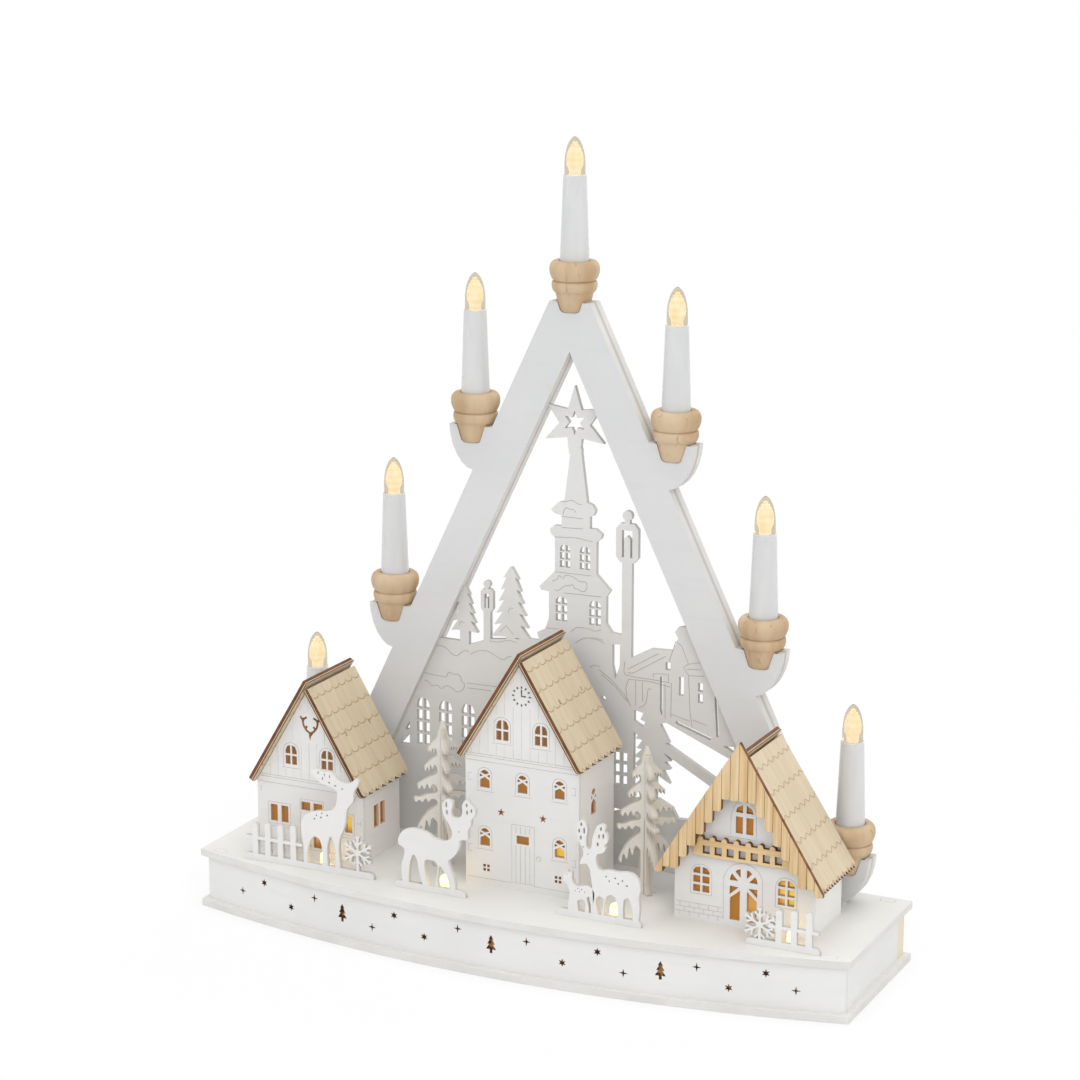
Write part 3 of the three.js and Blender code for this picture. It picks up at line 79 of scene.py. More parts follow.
def srgb(red: float, green: float, blue: float) -> Colour:
    """Turns a colour written 0 to 255 into linear values.

    Args:
        red: Red as seen on a screen.
        green: Green as seen on a screen.
        blue: Blue as seen on a screen.

    Returns:
        The linear colour with full alpha.
    """
    seen = (red / 255, green / 255, blue / 255)
    return (*(v / 12.92 if v <= 0.04045 else ((v + 0.055) / 1.055) ** 2.4 for v in seen), 1.0)


def shaded(colour: Colour, share: float) -> Colour:
    """The colour times a share, with full alpha."""
    return (*(min(1.0, c * share) for c in colour[:3]), 1.0)


class NodeSheet:
    """A node tree, with short ways to add what it needs."""

    def __init__(self, tree: bpy.types.NodeTree) -> None:
        """Empties the tree to start from.

        Args:
            tree: The tree.
        """
        self.tree = tree
        self.tree.nodes.clear()
        self._place = self._facing = None

    def plug(self, target: Socket, value: Value) -> None:
        """Links a socket, or sets its value where a plain value is given."""
        if isinstance(value, Socket):
            self.tree.links.new(value, target)
        else:
            target.default_value = value

    def add(self, kind: str, inputs: dict | None = None, **settings: object) -> bpy.types.Node:
        """Adds a node.

        Args:
            kind: Node type.
            inputs: Values or sockets by input name or index.
            **settings: Properties of the node.

        Returns:
            The node.
        """
        node = self.tree.nodes.new(kind)
        for key, value in settings.items():
            setattr(node, key, value)
        for key, value in (inputs or {}).items():
            self.plug(node.inputs[key], value)
        return node

    def math(self, operation: str, a: Value, b: Value = 0.0) -> Socket:
        """One Math node's result."""
        return self.add("ShaderNodeMath", {0: a, 1: b}, operation=operation).outputs[0]

    def size(self, value: Value) -> Socket:
        """A value without its sign."""
        return self.math("ABSOLUTE", value)

    def product(self, *factors: Value) -> Value:
        """The product of some values."""
        return reduce(lambda a, b: self.math("MULTIPLY", a, b), factors)

    def blend(self, share: Value, low: Value, high: Value) -> Socket:
        """A colour between low and high."""
        return self.add("ShaderNodeMix", {0: share, 6: low, 7: high}, data_type="RGBA").outputs[2]

    def mottle(self, noise: Socket, dark: Value, light: Value) -> Socket:
        """A colour that wanders from dark to light with a noise."""
        return self.blend(self.step(noise, 0.3, 0.7), dark, light)

    def place(self) -> Socket:
        """Object coordinates, in metres."""
        if self._place is None:
            self._place = self.add("ShaderNodeTexCoord").outputs["Object"]
        return self._place

    def facing(self) -> Socket:
        """The surface's normal."""
        if self._facing is None:
            self._facing = self.add("ShaderNodeNewGeometry").outputs["Normal"]
        return self._facing

    def vector(self, operation: str, a: Value, b: Value = (0.0, 0.0, 0.0),
               output: str = "Vector") -> Socket:
        """One Vector Math node's result."""
        return self.add("ShaderNodeVectorMath", {0: a, 1: b}, operation=operation).outputs[output]

    def along(self, vector: Socket, direction: Sequence[float]) -> Socket:
        """How far a vector reaches along a direction."""
        return self.vector("DOT_PRODUCT", vector, tuple(direction), "Value")

    def millimetres(self, direction: Sequence[float], start: float = 0.0) -> Socket:
        """Distance along a direction in millimetres, counted from start."""
        reach = self.along(self.place(), [c / MM for c in direction])
        return self.math("SUBTRACT", reach, start)

    def step(self, value: Value, low: float, high: float) -> Socket:
        """A smooth step from 0 at low to 1 at high; low may be the larger one."""
        return self.add("ShaderNodeMapRange", {"Value": value, "From Min": low, "From Max": high},
                        interpolation_type="SMOOTHSTEP", clamp=True).outputs["Result"]

    def within(self, direction: Sequence[float], middle: float, half: float,
               soft: float = 0.3) -> Socket:
        """1 where a place is nearer than half to the middle along a direction, and else 0."""
        return self.step(self.size(self.millimetres(direction, middle)), half, half - soft)

    def turned_from(self, direction: Sequence[float]) -> Socket:
        """How far a face is turned from a direction and its opposite, from 0 to 1."""
        return self.step(self.size(self.along(self.facing(), direction)), 0.8, 0.4)

    def noise(self, scale: float, detail: float = 3.0, stretch: Sequence[float] = (1, 1, 1),
              vector: Socket | None = None) -> Socket:
        """Noise over a place.

        Args:
            scale: Features in a metre.
            detail: Octaves.
            stretch: How the place is scaled along each axis first.
            vector: The place, or none for the object's own.

        Returns:
            The noise value.
        """
        mapping = self.add("ShaderNodeMapping", {"Vector": vector or self.place(),
                                                 "Scale": tuple(stretch)})
        return self.add("ShaderNodeTexNoise", {"Vector": mapping.outputs[0], "Scale": scale,
                                               "Detail": detail}).outputs["Fac"]

    def seen(self) -> Socket:
        """Tells what the camera sees from what only gives light.

        Returns:
            1 for rays seen straight, in a gloss or through glass, and 0 for the others.
        """
        path = self.add("ShaderNodeLightPath").outputs
        mirrored = self.math("MAXIMUM", path["Is Glossy Ray"], path["Is Transmission Ray"])
        return self.math("MAXIMUM", path["Is Camera Ray"], mirrored)


class MaterialSheet(NodeSheet):
    """The nodes of one material round its Principled shader."""

    def __init__(self, name: str) -> None:
        """Starts a material that holds one Principled shader.

        Args:
            name: Name of the material.
        """
        self.material = bpy.data.materials.new(name)
        self.material.use_nodes = True
        super().__init__(self.material.node_tree)
        self.shader = self.add("ShaderNodeBsdfPrincipled")
        self.output = self.add("ShaderNodeOutputMaterial", {"Surface": self.shader.outputs["BSDF"]})

    def bump(self, height: Value, distance: float, strength: float = 1.0) -> None:
        """Puts a height in millimetres on the shader's normal."""
        node = self.add("ShaderNodeBump", {"Height": height, "Distance": distance * MM,
                                           "Strength": strength})
        self.plug(self.shader.inputs["Normal"], node.outputs["Normal"])

    def set(self, **values: Value) -> None:
        """Sets the shader's own sockets, with underscores for spaces."""
        for key, value in values.items():
            self.plug(self.shader.inputs[key.replace("_", " ")], value)


class Facing(Enum):
    """The way a board's broad faces look."""

    SIDE = ACROSS
    FRONT = DEEP
    UP = UP
    LEFT_DIAGONAL = (0.7071, -0.7071, 0.0)
    RIGHT_DIAGONAL = (0.7071, 0.7071, 0.0)


@dataclass(frozen=True)
class Finish:
    """A finish that becomes a material; every kind paints the shader in its own way."""

    def paint(self, s: MaterialSheet) -> None:
        """Sets the shader of a sheet."""
        raise NotImplementedError

    def dress(self, name: str) -> Material:
        """Builds the material.

        Args:
            name: Name of the material.

        Returns:
            The material.
        """
        s = MaterialSheet(name)
        self.paint(s)
        return s.material


@dataclass(frozen=True)
class PaintedBoard(Finish):
    """Matt white paint on thin plywood, a little darker on the cut edges."""

    facing: Facing = Facing.FRONT
    colour: Colour = srgb(232, 231, 229)
    edge: Colour = srgb(222, 219, 214)
    clouds: float = 14.0
    fibres: float = 120.0
    roughness: float = 0.56

    def edges(self, s: MaterialSheet) -> Socket:
        """How much of a point's face is a cut edge, from 0 to 1."""
        return s.turned_from(self.facing.value)

    def over_deck(self, s: MaterialSheet) -> Socket:
        """1 over the deck, and 0 at the foot that stands on it."""
        return s.step(s.millimetres(UP, DECK), 0.3, 0.6)

    def edge_tone_and_painted_glow(self, s: MaterialSheet) -> Socket:
        """Colour of the cut edges."""
        return s.mottle(s.noise(45, 3), shaded(self.edge, 0.92), self.edge)

    def paint(self, s: MaterialSheet) -> None:
        """Paints thin clouds over raised fibres, and the cut edges in their own colour.

        Args:
            s: The sheet to paint on.
        """
        fibres = s.noise(self.fibres, 4, (0.3, 0.3, 1.8))
        paint = s.mottle(s.noise(self.clouds, 2), shaded(self.colour, 0.95), self.colour)
        paint = s.blend(s.product(s.step(fibres, 0.5, 0.75), 0.3), paint, shaded(self.colour, 0.9))
        s.set(Base_Color=s.blend(self.edges(s), paint, self.edge_tone_and_painted_glow(s)), Specular_IOR_Level=0.35,
              Roughness=s.math("ADD", s.product(fibres, 0.12), self.roughness))
        s.bump(fibres, 0.06, 0.4)


@dataclass(frozen=True)
class CutFront(PaintedBoard):
    """Painted house front whose cut-outs keep the laser's tan edge."""

    edge: Colour = srgb(206, 172, 134)
    middle: float = 0.0
    half: float = 30.0

    def edges(self, s: MaterialSheet) -> Socket:
        """How much of a point's face is the edge of a cut-out, from 0 to 1."""
        inside = s.within(ACROSS, self.middle, self.half)
        return s.product(super().edges(s), inside, self.over_deck(s))


@dataclass(frozen=True)
class CutShell(PaintedBoard):
    """Painted house walls: side windows' edges tan, with painted amber lamp light on the room's
    side.
    """

    colour: Colour = srgb(240, 238, 234)
    edge: Colour = srgb(212, 180, 148)
    # Painted light: the amber that the room's lamp casts on the inner part of the side windows'
    # edges
    lit: Colour = srgb(168, 122, 76)
    middle: float = 0.0
    half: float = 35.0
    back: float = 20.0

    def edges(self, s: MaterialSheet) -> Socket:
        """How much of a point's face is the edge of a side window, from 0 to 1."""
        before = s.step(s.millimetres(DEEP), self.back, self.back - 0.3)
        return s.product(s.turned_from(ACROSS), before, self.over_deck(s))

    def edge_tone_and_painted_glow(self, s: MaterialSheet) -> Socket:
        """Colour of the cut edges: tan outside, then painted amber lamp light towards the room."""
        depth = s.math("SUBTRACT", self.half, s.size(s.millimetres(ACROSS, self.middle)))
        return s.blend(s.step(depth, 1.0, 1.9), self.edge, self.lit)


@dataclass(frozen=True)
class BowedFront(PaintedBoard):
    """Painted bowed board whose small stars and trees keep a burnt edge."""

    edge: Colour = srgb(132, 100, 68)
    centre: float = 719.23
    low: float = 4.3
    high: float = 30.4
    half: float = 195.5

    def edges(self, s: MaterialSheet) -> Socket:
        """How much of a point's face is the edge of a cut-out.

        Args:
            s: The sheet to work it out on.

        Returns:
            A share from 0 to 1.
        """
        flat = s.vector("MULTIPLY", s.place(), (1.0, 1.0, 0.0))
        outward = s.vector("NORMALIZE", s.vector("SUBTRACT", flat, (0.0, self.centre * MM, 0.0)))
        broad = s.size(s.vector("DOT_PRODUCT", outward, s.facing(), "Value"))
        height = s.millimetres(UP)
        return s.product(s.step(broad, 0.8, 0.4), s.step(height, self.low, self.low + 0.2),
                         s.step(height, self.high, self.high - 0.2),
                         s.within(ACROSS, 0.0, self.half, 0.4))


@dataclass(frozen=True)
class BarePlywood(Finish):
    """Bare plywood with grain along one axis and scorched cut edges."""

    grain: tuple = (6.0, 6.0, 0.35)
    colour: Colour = srgb(229, 203, 158)
    streak: Colour = srgb(208, 174, 124)
    edge: Colour = srgb(121, 78, 44)

    def wood(self, s: MaterialSheet, vector: Socket | None = None) -> tuple[Socket, Socket]:
        """Adds the grain.

        Args:
            s: The sheet to add it to.
            vector: The place that the grain follows, or none for the object's own.

        Returns:
            The wood's colour and the height of its grain.
        """
        broad = s.noise(16, 4, self.grain, vector)
        fine = s.noise(70, 5, self.grain, vector)
        height = s.math("ADD", s.product(broad, 0.4), s.product(fine, 0.6))
        wood = s.blend(s.step(height, 0.36, 0.64), self.streak, self.colour)
        pores = s.product(s.step(s.noise(260, 2, self.grain, vector), 0.6, 0.75), 0.35)
        return s.blend(pores, wood, shaded(self.streak, 0.8)), height

    def scorch(self, s: MaterialSheet) -> Socket:
        """Colour of the cut edges."""
        return s.mottle(s.noise(160, 3), self.edge, shaded(self.edge, 1.6))

    def paint(self, s: MaterialSheet) -> None:
        """Lays the grain on the broad faces and scorches the edges.

        Args:
            s: The sheet to paint on.
        """
        wood, height = self.wood(s)
        s.set(Base_Color=s.blend(s.turned_from(DEEP), wood, self.scorch(s)), Roughness=0.62,
              Specular_IOR_Level=0.3)
        s.bump(height, 0.12, 0.5)


@dataclass(frozen=True)
class BackBoard(BarePlywood):
    """Bare back board whose tabs are painted where they show in the deck."""

    tabs: Colour = srgb(228, 226, 222)

    def scorch(self, s: MaterialSheet) -> Socket:
        """Colour of the edges: bare, and white at deck height."""
        return s.blend(s.step(s.millimetres(UP), DECK - 4.2, DECK - 3.8), self.edge, self.tabs)


class ShingleCut(Enum):
    """Shape of the engraved shingles on a roof."""

    SCALLOP = "scallop"
    ZIGZAG = "zigzag"


@dataclass(frozen=True)
class ShingledRoof(BarePlywood):
    """Bare plywood roof with rows of engraved shingles and a scorched edge with one pale ply."""

    grain: tuple = (0.3, 4.0, 4.0)
    colour: Colour = srgb(218, 203, 176)
    streak: Colour = srgb(208, 191, 161)
    edge: Colour = srgb(98, 62, 38)
    line: Colour = srgb(150, 108, 66)
    ridge: Point = (0.0, 0.0)
    front: float = 0.0
    down: Point = (0.7071, -0.7071)
    length: float = 75.0
    pitch: float = 7.7
    rows: int = 6
    cut: ShingleCut = ShingleCut.SCALLOP

    def shingles(self, s: MaterialSheet, slope: Socket) -> tuple[Socket, Socket, Socket]:
        """Works out the rows of shingles.

        Args:
            s: The sheet to add them to.
            slope: Distance down the roof in millimetres.

        Returns:
            The engraved line, the shade under it and the tone of each shingle.
        """
        row_height = self.length / self.rows
        row = s.math("FLOOR", s.math("DIVIDE", slope, row_height))
        within = s.math("SUBTRACT", slope, s.product(row, row_height))
        cell = s.math("ADD", s.math("DIVIDE", s.millimetres(DEEP, self.front), self.pitch),
                      s.product(row, 0.5))
        share = s.math("SUBTRACT", s.math("FRACT", cell), 0.5)
        if self.cut is ShingleCut.SCALLOP:
            under = s.math("SUBTRACT", 1.0, s.product(share, share, 3.9))
            bow, drop = s.math("SUBTRACT", 1.0, s.math("SQRT", under)), 0.38 * self.pitch
        else:
            bow, drop = s.product(s.size(share), 2.0), 0.34 * self.pitch
        line = s.math("SUBTRACT", row_height - 0.4, s.product(bow, drop))
        off = s.math("SUBTRACT", within, line)
        groove = s.step(s.size(off), 0.36, 0.12)
        below = s.product(s.step(off, 0.0, 0.3), s.step(off, 2.6, 0.3))
        corner = s.add("ShaderNodeCombineXYZ", {0: s.math("FLOOR", cell), 1: row}).outputs[0]
        tone = s.add("ShaderNodeTexWhiteNoise", {"Vector": corner}, noise_dimensions="3D")
        return groove, below, tone.outputs["Value"]

    def paint(self, s: MaterialSheet) -> None:
        """Lays the grain down the slope, engraves the shingles and scorches the edge.

        Args:
            s: The sheet to paint on.
        """
        (dx, dz), (x, z) = self.down, self.ridge
        out = (-dz, 0, dx) if dx > 0 else (dz, 0, -dx)
        slope = s.millimetres((dx, 0, dz), x * dx + z * dz)
        depth = s.product(s.millimetres(out, x * out[0] + z * out[2]), -1.0)
        lying = s.add("ShaderNodeCombineXYZ", {0: s.product(slope, MM), 2: s.product(depth, MM),
                                               1: s.millimetres((0, MM, 0))}).outputs[0]
        wood, height = self.wood(s, lying)
        groove, below, tone = self.shingles(s, slope)
        wood = s.blend(s.product(tone, 0.3), wood, self.streak)
        wood = s.blend(s.product(below, 0.14), wood, self.line)
        wood = s.blend(s.product(groove, 0.7), wood, self.line)
        ply = s.product(s.step(depth, 1.8, 1.95), s.step(depth, 2.4, 2.25))
        plies = s.blend(ply, self.scorch(s), self.streak)
        s.set(Base_Color=s.blend(s.turned_from(out), wood, plies), Roughness=0.6,
              Specular_IOR_Level=0.3)
        s.bump(s.math("SUBTRACT", s.product(height, 0.4), groove), 0.16, 0.6)


@dataclass(frozen=True)
class TurnedBeech(Finish):
    """Bare turned beech: grain along the axis with short dark flecks and fine tool rings."""

    pale: Colour = srgb(208, 185, 153)
    warm: Colour = srgb(188, 158, 121)
    fleck: Colour = srgb(164, 122, 82)

    def paint(self, s: MaterialSheet) -> None:
        """Lays grain, flecks and rings.

        Args:
            s: The sheet to paint on.
        """
        broad = s.noise(55, 4, (1.0, 1.0, 0.22))
        flecks = s.noise(420, 3, (1.0, 1.0, 0.18))
        rings = s.noise(1500, 1, (0.02, 0.02, 1.0))
        wood = s.blend(s.step(broad, 0.34, 0.66), self.warm, self.pale)
        wood = s.blend(s.product(s.step(flecks, 0.62, 0.72), 0.4), wood, self.fleck)
        s.set(Base_Color=wood, Roughness=0.55, Specular_IOR_Level=0.35)
        s.bump(s.math("ADD", s.product(rings, 0.5), s.product(flecks, 0.5)), 0.08, 0.5)


@dataclass(frozen=True)
class SatinSleeve(Finish):
    """Satin white moulded sleeve with a faint ripple."""

    colour: Colour = srgb(214, 214, 213)

    def paint(self, s: MaterialSheet) -> None:
        """Ripples the colour, the gloss and the surface along the sleeve.

        Args:
            s: The sheet to paint on.
        """
        ripple = s.noise(140, 2, (1.0, 1.0, 0.25))
        s.set(Base_Color=s.mottle(ripple, shaded(self.colour, 0.95), self.colour),
              Roughness=s.math("ADD", s.product(ripple, 0.1), 0.2), Coat_Weight=0.3,
              Coat_Roughness=0.12)
        s.bump(ripple, 0.04, 0.3)


@dataclass(frozen=True)
class ClearCap(Finish):
    """Clear moulded plastic of the lamp caps, a little smoky."""

    tint: Colour = srgb(217, 206, 184)

    def paint(self, s: MaterialSheet) -> None:
        """Lets light through a thin haze.

        Args:
            s: The sheet to paint on.
        """
        haze = s.noise(300, 2, (1, 1, 0.4))
        s.set(Base_Color=s.blend(haze, shaded(self.tint, 0.9), self.tint), IOR=1.08,
              Roughness=s.math("ADD", s.product(haze, 0.1), 0.04), Transmission_Weight=0.96)


@dataclass(frozen=True)
class WarmGlow(Finish):
    """A lamp's lit part, with bright patches and rings."""

    hot: Colour = srgb(255, 245, 224)
    warm: Colour = srgb(249, 229, 186)
    strength: float = 0.98
    patch: float = 300.0
    ring: float = 3.9

    def paint(self, s: MaterialSheet) -> None:
        """Lights patches and rings up.

        Args:
            s: The sheet to paint on.
        """
        patches = s.step(s.noise(self.patch, 2, (1, 1, 0.6)), 0.3, 0.7)
        rings = s.step(s.math("SINE", s.millimetres((0, 0, math.tau / self.ring))), -0.6, 0.6)
        share = s.math("ADD", s.product(patches, 0.7), s.product(rings, 0.3))
        glow = s.blend(share, self.warm, self.hot)
        s.set(Base_Color=s.blend(0.75, glow, srgb(96, 84, 60)), Roughness=0.35,
              Emission_Color=glow, Emission_Strength=self.strength)


# Painted light: a sheet that glows though it is no lamp stands in for a lamp-lit room; its colours
# by height and its bright spots are painted light and shade
@dataclass(frozen=True)
class RoomGlow(Finish):
    """The lit room behind the windows: one colour low, another high up, and bright patches."""

    low: Colour = srgb(172, 114, 46)
    high: Colour = srgb(146, 106, 72)
    levels: Point = (60.0, 90.0)
    spots: tuple = ()
    strength: float = 0.72

    def paint(self, s: MaterialSheet) -> None:
        """Blends the two colours with the height and lights the spots up.

        Args:
            s: The sheet to paint on.
        """
        wander = s.product(s.math("SUBTRACT", s.noise(110, 3), 0.5), 0.6)
        rise = s.math("ADD", s.step(s.millimetres(UP), *self.levels), wander)
        colour = s.blend(s.step(rise, 0.0, 1.0), self.low, self.high)
        for x, y, z, reach, bright in self.spots:
            away = s.vector("DISTANCE", s.place(), (x * MM, y * MM, z * MM), "Value")
            colour = s.blend(s.step(away, reach * MM, 0.3 * reach * MM), colour, bright)
        s.set(Base_Color=s.blend(0.8, colour, srgb(60, 44, 28)), Roughness=0.7,
              Emission_Color=colour, Emission_Strength=self.strength)


@dataclass(frozen=True)
class EngravedLine(Finish):
    """The thin scorched line that a laser leaves in white paint."""

    colour: Colour = srgb(160, 153, 144)

    def paint(self, s: MaterialSheet) -> None:
        """Scorches the line unevenly."""
        s.set(Base_Color=s.mottle(s.noise(300, 2), self.colour, shaded(self.colour, 1.3)),
              Roughness=0.8)


@dataclass(frozen=True)
class MouldedPlastic(Finish):
    """Fine-grained moulded plastic."""

    colour: Colour = srgb(38, 38, 40)
    roughness: float = 0.5
    metal: float = 0.0

    def paint(self, s: MaterialSheet) -> None:
        """Lays a fine grain.

        Args:
            s: The sheet to paint on.
        """
        grain = s.noise(1800, 2)
        s.set(Base_Color=s.blend(grain, self.colour, shaded(self.colour, 1.3)),
              Roughness=self.roughness, Metallic=self.metal)
        s.bump(grain, 0.04, 0.5)


FRAME_PAINT = PaintedBoard(colour=srgb(217, 217, 217))


def clear_selection() -> None:
    """Leaves edit mode and deselects everything."""
    if bpy.context.object and bpy.context.object.mode != "OBJECT":
        bpy.ops.object.mode_set(mode="OBJECT")
    bpy.ops.object.select_all(action="DESELECT")


def held(piece: Piece) -> Piece:
    """Selects one piece alone and makes it active.

    Args:
        piece: The piece.

    Returns:
        The same piece.
    """
    clear_selection()
    piece.select_set(True)
    bpy.context.view_layer.objects.active = piece
    return piece


def named(piece: Piece, name: str) -> Piece:
    """Gives a piece and its mesh one name."""
    piece.name = piece.data.name = name
    return piece


def closed_up(reach: float) -> None:
    """Merges near points, turns the faces outwards and leaves edit mode.

    Args:
        reach: Distance up to which points are merged.
    """
    bpy.ops.mesh.select_all(action="SELECT")
    bpy.ops.mesh.remove_doubles(threshold=reach)
    bpy.ops.mesh.normals_make_consistent(inside=False)
    bpy.ops.object.mode_set(mode="OBJECT")


def seat(piece: Piece, material: Material,
         nodes: Iterable[str] = ()) -> None:
    """Gives a finished piece its material, its body and the nodes that it stands for.

    Args:
        piece: The piece.
        material: Its material.
        nodes: CAD nodes that it replaces.
    """
    piece.data.materials.clear()
    piece.data.materials.append(material)
    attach(piece, BODY)
    if nodes:
        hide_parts(*nodes)
    log.info("%s: %d faces", piece.name, len(piece.data.polygons))


def spun(name: str, profile: Sequence[Point], steps: int, smooth: float = 35.0) -> Piece:
    """Spins a closed profile round the upright axis.

    Args:
        name: Name of the piece.
        profile: Points of radius and height in millimetres, the last joined to the first.
        steps: Faces round the axis.
        smooth: Angle in degrees up to which edges are shaded smooth.

    Returns:
        The piece, with its axis at the origin.
    """
    clear_selection()
    bpy.ops.mesh.primitive_plane_add(size=MM, location=(0, 0, 0))
    piece = named(bpy.context.object, name)
    bpy.ops.object.mode_set(mode="EDIT")
    bpy.ops.mesh.select_all(action="SELECT")
    bpy.ops.mesh.merge(type="CENTER")
    at = (0.0, 0.0)
    for i, (radius, height) in enumerate([*profile, profile[0]]):
        move = ((radius - at[0]) * MM, 0.0, (height - at[1]) * MM)
        if i == 0:
            bpy.ops.transform.translate(value=move)
        else:
            bpy.ops.mesh.extrude_vertices_move(TRANSFORM_OT_translate={"value": move})
        at = (radius, height)
    bpy.ops.mesh.select_all(action="SELECT")
    bpy.ops.mesh.remove_doubles(threshold=PROFILE_REACH)
    bpy.ops.mesh.spin(steps=steps, angle=math.tau, center=(0, 0, 0), axis=UP)
    closed_up(SPUN_REACH)
    bpy.ops.object.shade_smooth_by_angle(angle=math.radians(smooth))
    return piece


def copied(piece: Piece, name: str, *move: float) -> Piece:
    """Copies a piece with its own mesh and puts the copy's place in that mesh.

    Args:
        piece: The piece to copy.
        name: Name of the copy.
        *move: Move along x, y and z in millimetres.

    Returns:
        The copy.
    """
    copy = piece.copy()
    copy.data = piece.data.copy()
    copy.data.transform(Matrix.Translation(Vector(move) * MM))
    bpy.context.scene.collection.objects.link(copy)
    return named(copy, name)


def dropped(piece: Piece) -> None:
    """Removes a piece that only served to be copied or joined."""
    bpy.data.objects.remove(piece)


def wound(loop: Sequence[Point], outer: bool) -> Line:
    """Turns an outline anticlockwise, or a hole clockwise."""
    area = sum(a[0] * b[1] - b[0] * a[1] for a, b in zip(loop, [*loop[1:], loop[0]]))
    return list(loop) if (area > 0) == outer else list(reversed(loop))


def as_mesh(name: str, curve: bpy.types.Curve) -> Piece:
    """Makes a curve a mesh.

    Args:
        name: Name of the piece.
        curve: The curve.

    Returns:
        The piece.
    """
    piece = bpy.data.objects.new(name, curve)
    bpy.context.scene.collection.objects.link(piece)
    held(piece)
    bpy.ops.object.convert(target="MESH")
    return named(bpy.context.object, name)


def board(name: str, loops: Sequence[Sequence[Point]], place: Matrix, thickness: float,
          bevel: float = 0.12) -> Piece:
    """Cuts a board from a flat outline with holes.

    Args:
        name: Name of the piece.
        loops: The outline and its holes, in millimetres.
        place: Takes the outline's x, y and height over its middle to the frame, in millimetres.
        thickness: Thickness in millimetres.
        bevel: How far its sharp edges are broken.

    Returns:
        The piece.
    """
    flat = bpy.data.curves.new(name, "CURVE")
    flat.dimensions, flat.fill_mode = "2D", "BOTH"
    flat.extrude, flat.offset = thickness / 2 - bevel, -bevel
    flat.bevel_depth, flat.bevel_resolution = bevel, 0
    for i, loop in enumerate(loops):
        spline = flat.splines.new("POLY")
        spline.points.add(len(loop) - 1)
        for point, (x, y) in zip(spline.points, wound(loop, i == 0)):
            point.co = (x, y, 0, 1)
        spline.use_cyclic_u = True
    piece = as_mesh(name, flat)
    bpy.ops.object.mode_set(mode="EDIT")
    closed_up(BOARD_REACH)
    piece.data.transform(Matrix.Scale(MM, 4) @ place)
    return piece


def lit_sheet(name: str, loop: Line, place: Matrix, glow: RoomGlow, material: str,
              thickness: float = 0.5) -> None:
    """Cuts and seats a lit sheet.

    Args:
        name: Name of the piece.
        loop: Its outline in millimetres.
        place: Takes the outline to the frame.
        glow: Its finish.
        material: Name of its material.
        thickness: Its thickness in millimetres.
    """
    seat(board(name, [loop], place, thickness, THIN_BEVEL), glow.dress(material))


def fused(name: str, boards: Sequence[Piece]) -> Piece:
    """Joins overlapping boards to one closed body.

    Args:
        name: Name of the piece.
        boards: The boards.

    Returns:
        The piece.
    """
    whole = held(boards[0])
    for other in boards[1:]:
        union = whole.modifiers.new("union", "BOOLEAN")
        union.operation, union.solver, union.object = "UNION", "EXACT", other
        bpy.ops.object.modifier_apply(modifier=union.name)
        dropped(other)
    return named(whole, name)


def upright(y: float) -> Matrix:
    """Places an outline of x and z in an upright plane at y."""
    return Matrix(((1, 0, 0, 0), (0, 0, -1, y), (0, 1, 0, 0), (0, 0, 0, 1)))


def endwise(x: float) -> Matrix:
    """Places an outline of y and z in an upright plane at x."""
    return Matrix(((0, 0, 1, x), (1, 0, 0, 0), (0, 1, 0, 0), (0, 0, 0, 1)))


def on_wall(lines: Sequence[Line], x: float, y: float) -> list[list[tuple]]:
    """Stands flat lines over the deck in the upright plane at y, moved to x."""
    return [[(x + px, y, DECK + pz) for px, pz in line] for line in lines]


def engraved(name: str, lines: Sequence[Sequence[tuple]], width: float, colour: Colour,
             material: str) -> None:
    """Draws and seats thin engraved lines as one mesh.

    Args:
        name: Name of the piece.
        lines: Lines of points in millimetres.
        width: Half the width of a line.
        colour: Colour of the lines.
        material: Name of their material.
    """
    wire = bpy.data.curves.new(name, "CURVE")
    wire.dimensions, wire.use_fill_caps = "3D", True
    wire.bevel_depth, wire.bevel_resolution = width * MM, 0
    for line in lines:
        spline = wire.splines.new("POLY")
        closed = len(line) > 2 and line[0] == line[-1]
        points = line[:-1] if closed else line
        spline.points.add(len(points) - 1)
        for point, co in zip(spline.points, points):
            point.co = (*(c * MM for c in co), 1)
        spline.use_cyclic_u = closed
    seat(as_mesh(name, wire), EngravedLine(colour).dress(material))


def traced(text: str) -> list[tuple]:
    """Reads points whose numbers have commas and which have spaces between them."""
    return [tuple(float(number) for number in point.split(",")) for point in text.split()]


def traced_lines(text: str) -> tuple[Line, ...]:
    """Reads lines of points with upright bars between the lines."""
    return tuple(traced(line) for line in text.split("|"))


def flowing(points: Sequence[Point], closed: bool = True, pace: float = 0.9,
            sharp: float = -1000.0) -> Line:
    """Runs a smooth curve through every point of an outline.

    Args:
        points: The outline's points.
        closed: Whether the last point runs on to the first.
        pace: Longest distance between new points.
        sharp: Height at and under which the points stay sharp corners.

    Returns:
        The curve's points.
    """
    spots, count = [Vector(p) for p in points], len(points)
    if not closed:
        spots = [*spots, spots[-1], spots[0]]
    out = []
    for i in range(count if closed else count - 1):
        before, start, end, after = (spots[(i + k) % len(spots)] for k in (-1, 0, 1, 2))
        length = (end - start).length
        lead, trail = (start - before).length or length, (after - end).length or length
        leave = ((start - before) / lead * length + (end - start) / length * lead) / (lead + length)
        reach = ((end - start) / length * trail + (after - end) / trail * length) / (length + trail)
        if start.y <= sharp:
            leave = (end - start) / length
        if end.y <= sharp:
            reach = (end - start) / length
        steps = max(1, min(8, round(length / pace)))
        for t in (j / steps for j in range(steps)):
            at = ((2 * t ** 3 - 3 * t ** 2 + 1) * start + (t ** 3 - 2 * t ** 2 + t) * length * leave
                  + (3 * t ** 2 - 2 * t ** 3) * end + (t ** 3 - t ** 2) * length * reach)
            out.append((at.x, at.y))
    return out if closed else [*out, tuple(points[-1])]


